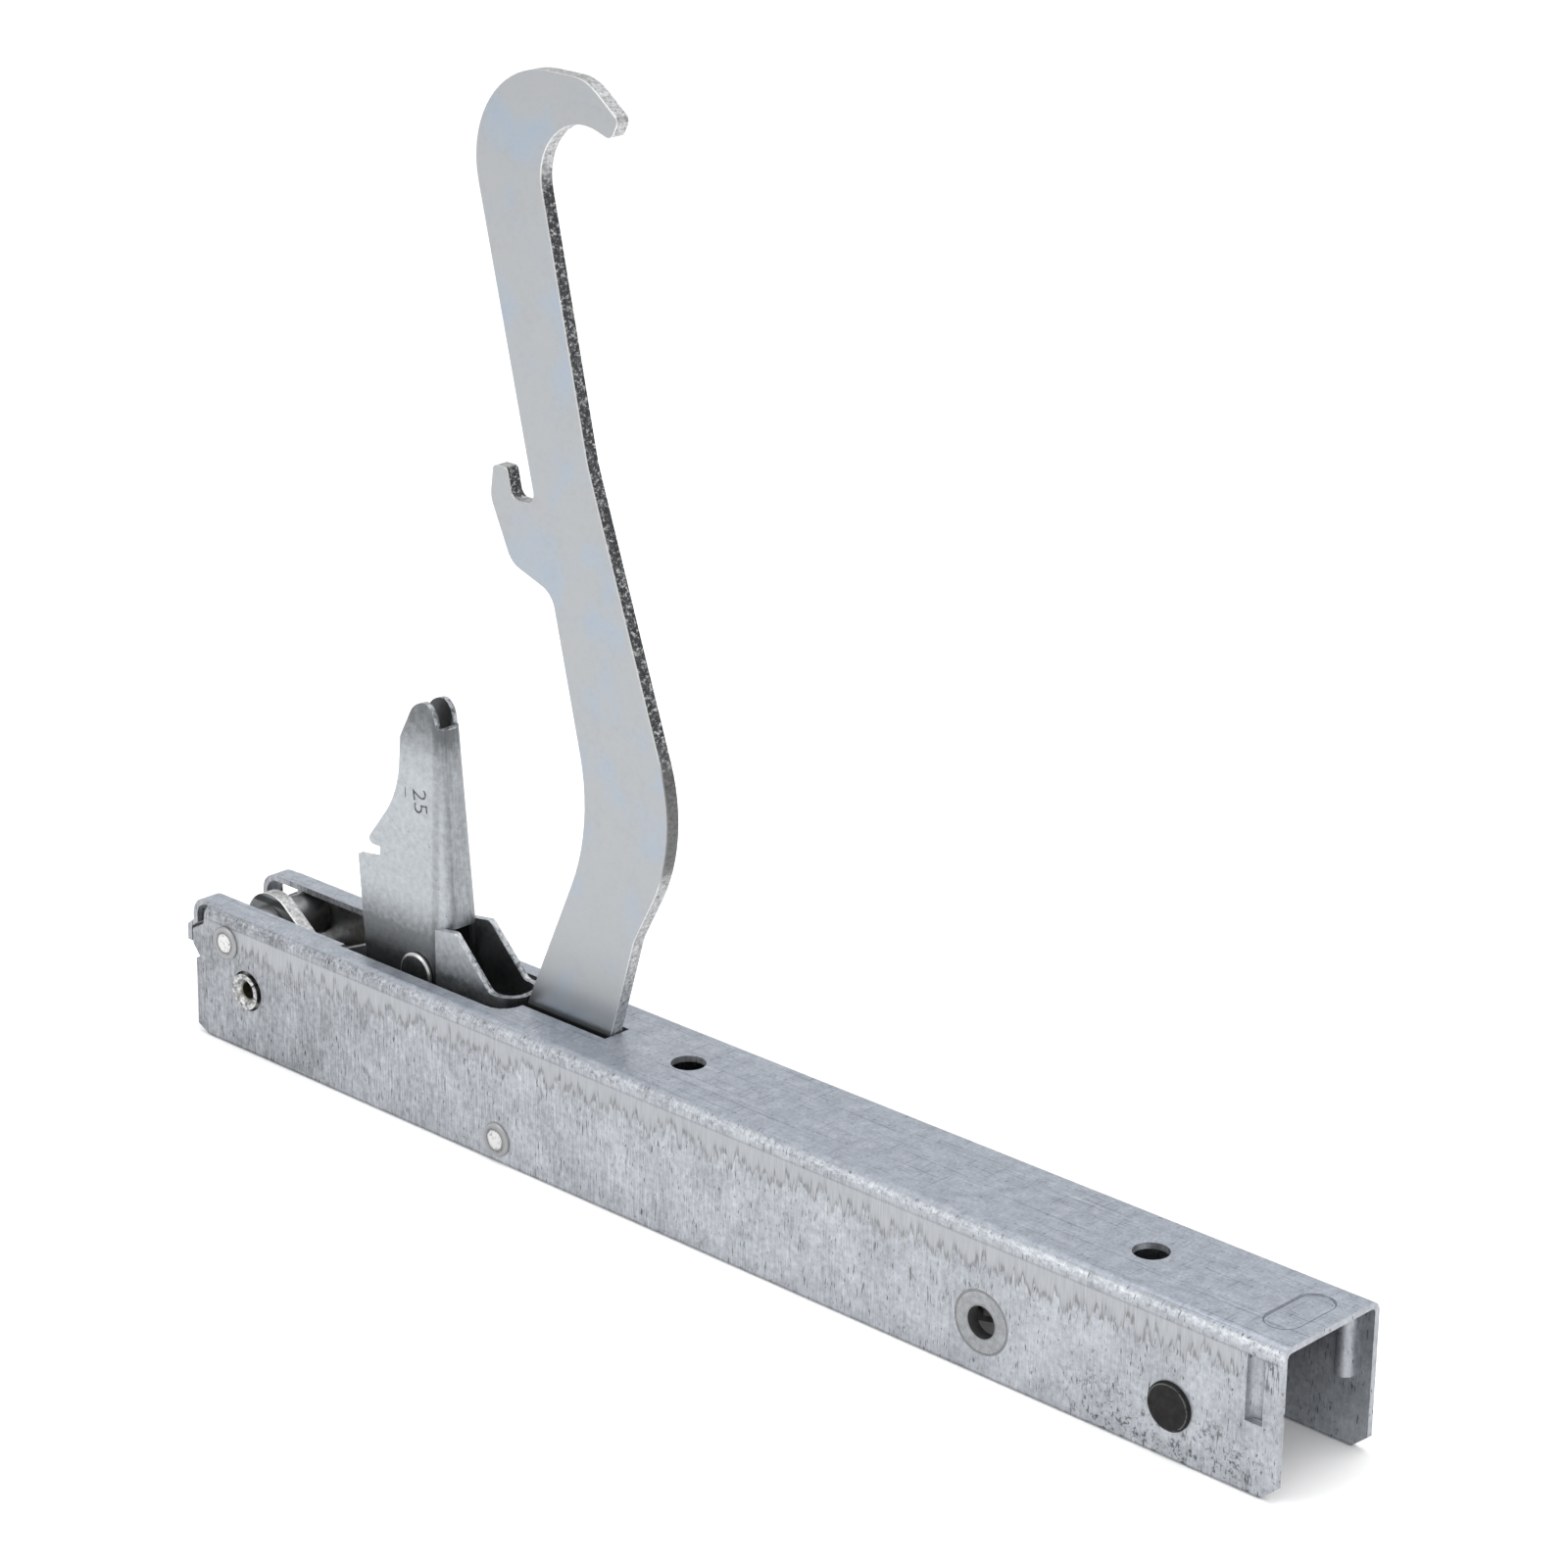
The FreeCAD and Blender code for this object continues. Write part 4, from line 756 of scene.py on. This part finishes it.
# %% [markdown]
# ## White studio
# The hinge stands on its lower edges, on a wide sheet of white paper under a white sky. The paper
# swallows a little of the sky's light, so it glows by just that much: far away it then has the
# sky's own brightness, and the two meet without a line.

# %% Floor and sky
SKY_STRENGTH = 0.8
PAPER_WHITE = 0.93
PAPER_HALF = 6.0
PAPER_GAP = 0.3
floor_mesh = bpy.data.meshes.new("studio_floor")
floor_mesh.from_pydata([(-PAPER_HALF, -PAPER_HALF, 0), (PAPER_HALF, -PAPER_HALF, 0),
                        (PAPER_HALF, PAPER_HALF, 0), (-PAPER_HALF, PAPER_HALF, 0)],
                       [], [(0, 1, 2, 3)])
floor = bpy.data.objects.new("studio_floor", floor_mesh)
floor.location.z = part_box("channel")[0].z - PAPER_GAP * MM
bpy.context.scene.collection.objects.link(floor)
paper = bpy.data.materials.new("studio_paper")
paper.use_nodes = True
paper_shader = paper.node_tree.nodes["Principled BSDF"]
paper_look = {"Base Color": (PAPER_WHITE, PAPER_WHITE, PAPER_WHITE, 1), "Roughness": 0.9,
              "Specular IOR Level": 0.0, "Emission Color": (1, 1, 1, 1),
              "Emission Strength": SKY_STRENGTH * (1 - PAPER_WHITE)}
for socket, value in paper_look.items():
    paper_shader.inputs[socket].default_value = value
floor_mesh.materials.append(paper)

world = bpy.data.worlds.new("studio_sky")
world.use_nodes = True
sky = world.node_tree.nodes["Background"]
sky.inputs["Color"].default_value = (1, 1, 1, 1)
sky.inputs["Strength"].default_value = SKY_STRENGTH
bpy.context.scene.world = world
bpy.context.scene.view_settings.view_transform = "Standard"
print("paper at", round(floor.location.z / MM, 2), "mm up")

# %% [markdown]
# Three large round lamps give soft edges: one from the front left, which lights the near wall, one
# from above, and a weak one from the right. A wide lamp close by is softer than a small one far
# away, which would draw hard shadows on bare zinc.

# %% Lamps
LAMP_AIM = Vector((0, 0, 0.06))
LAMPS = [("front_left", (-0.5, -1.1, 0.7), 0.9, 6.0),
         ("above", (0.1, 0.1, 1.3), 1.2, 11.0),
         ("right", (1.1, -0.1, 0.7), 0.7, 2.5)]
for name, place, width, power in LAMPS:
    light = bpy.data.lights.new(name, "AREA")
    light.shape = "DISK"
    light.size = width
    light.energy = power
    holder = bpy.data.objects.new(name, light)
    bpy.context.scene.collection.objects.link(holder)
    holder.location = place
    holder.rotation_euler = (LAMP_AIM - Vector(place)).to_track_quat("-Z", "Y").to_euler()
print("lamps:", len(LAMPS))

# %% [markdown]
# ## Camera
# The viewpoint was solved from the channel's straight edges and holes: the camera stands right of
# the hinge and looks down on it by about 21 degrees. A lens of about 105 mm keeps the far end of
# the channel nearly as large as the near one. Three angles give the camera's axes.

# %% Camera
CAMERA_PLACE = Vector((0.52595, -0.54685, 0.37091))
AZIMUTH = math.radians(43.097)
ELEVATION = math.radians(20.643)
ROLL = math.radians(0.782)
LENS_LENGTH = 104.85
SENSOR_WIDTH = 36.0
level = Vector((math.cos(AZIMUTH), math.sin(AZIMUTH), 0))
inward = Vector((-math.sin(AZIMUTH), math.cos(AZIMUTH), 0))
ahead = inward * math.cos(ELEVATION) - Vector((0, 0, math.sin(ELEVATION)))
upright = level.cross(ahead)
camera_x = level * math.cos(ROLL) + upright * math.sin(ROLL)
camera_y = upright * math.cos(ROLL) - level * math.sin(ROLL)
lens = bpy.data.cameras.new("photo_camera")
lens.lens = LENS_LENGTH
lens.sensor_width = SENSOR_WIDTH
camera = bpy.data.objects.new("photo_camera", lens)
turn = Matrix((camera_x, camera_y, -ahead)).transposed().to_4x4()
camera.matrix_world = Matrix.Translation(CAMERA_PLACE) @ turn
bpy.context.scene.collection.objects.link(camera)
bpy.context.scene.camera = camera
print("camera at", [round(v, 3) for v in camera.matrix_world.translation])
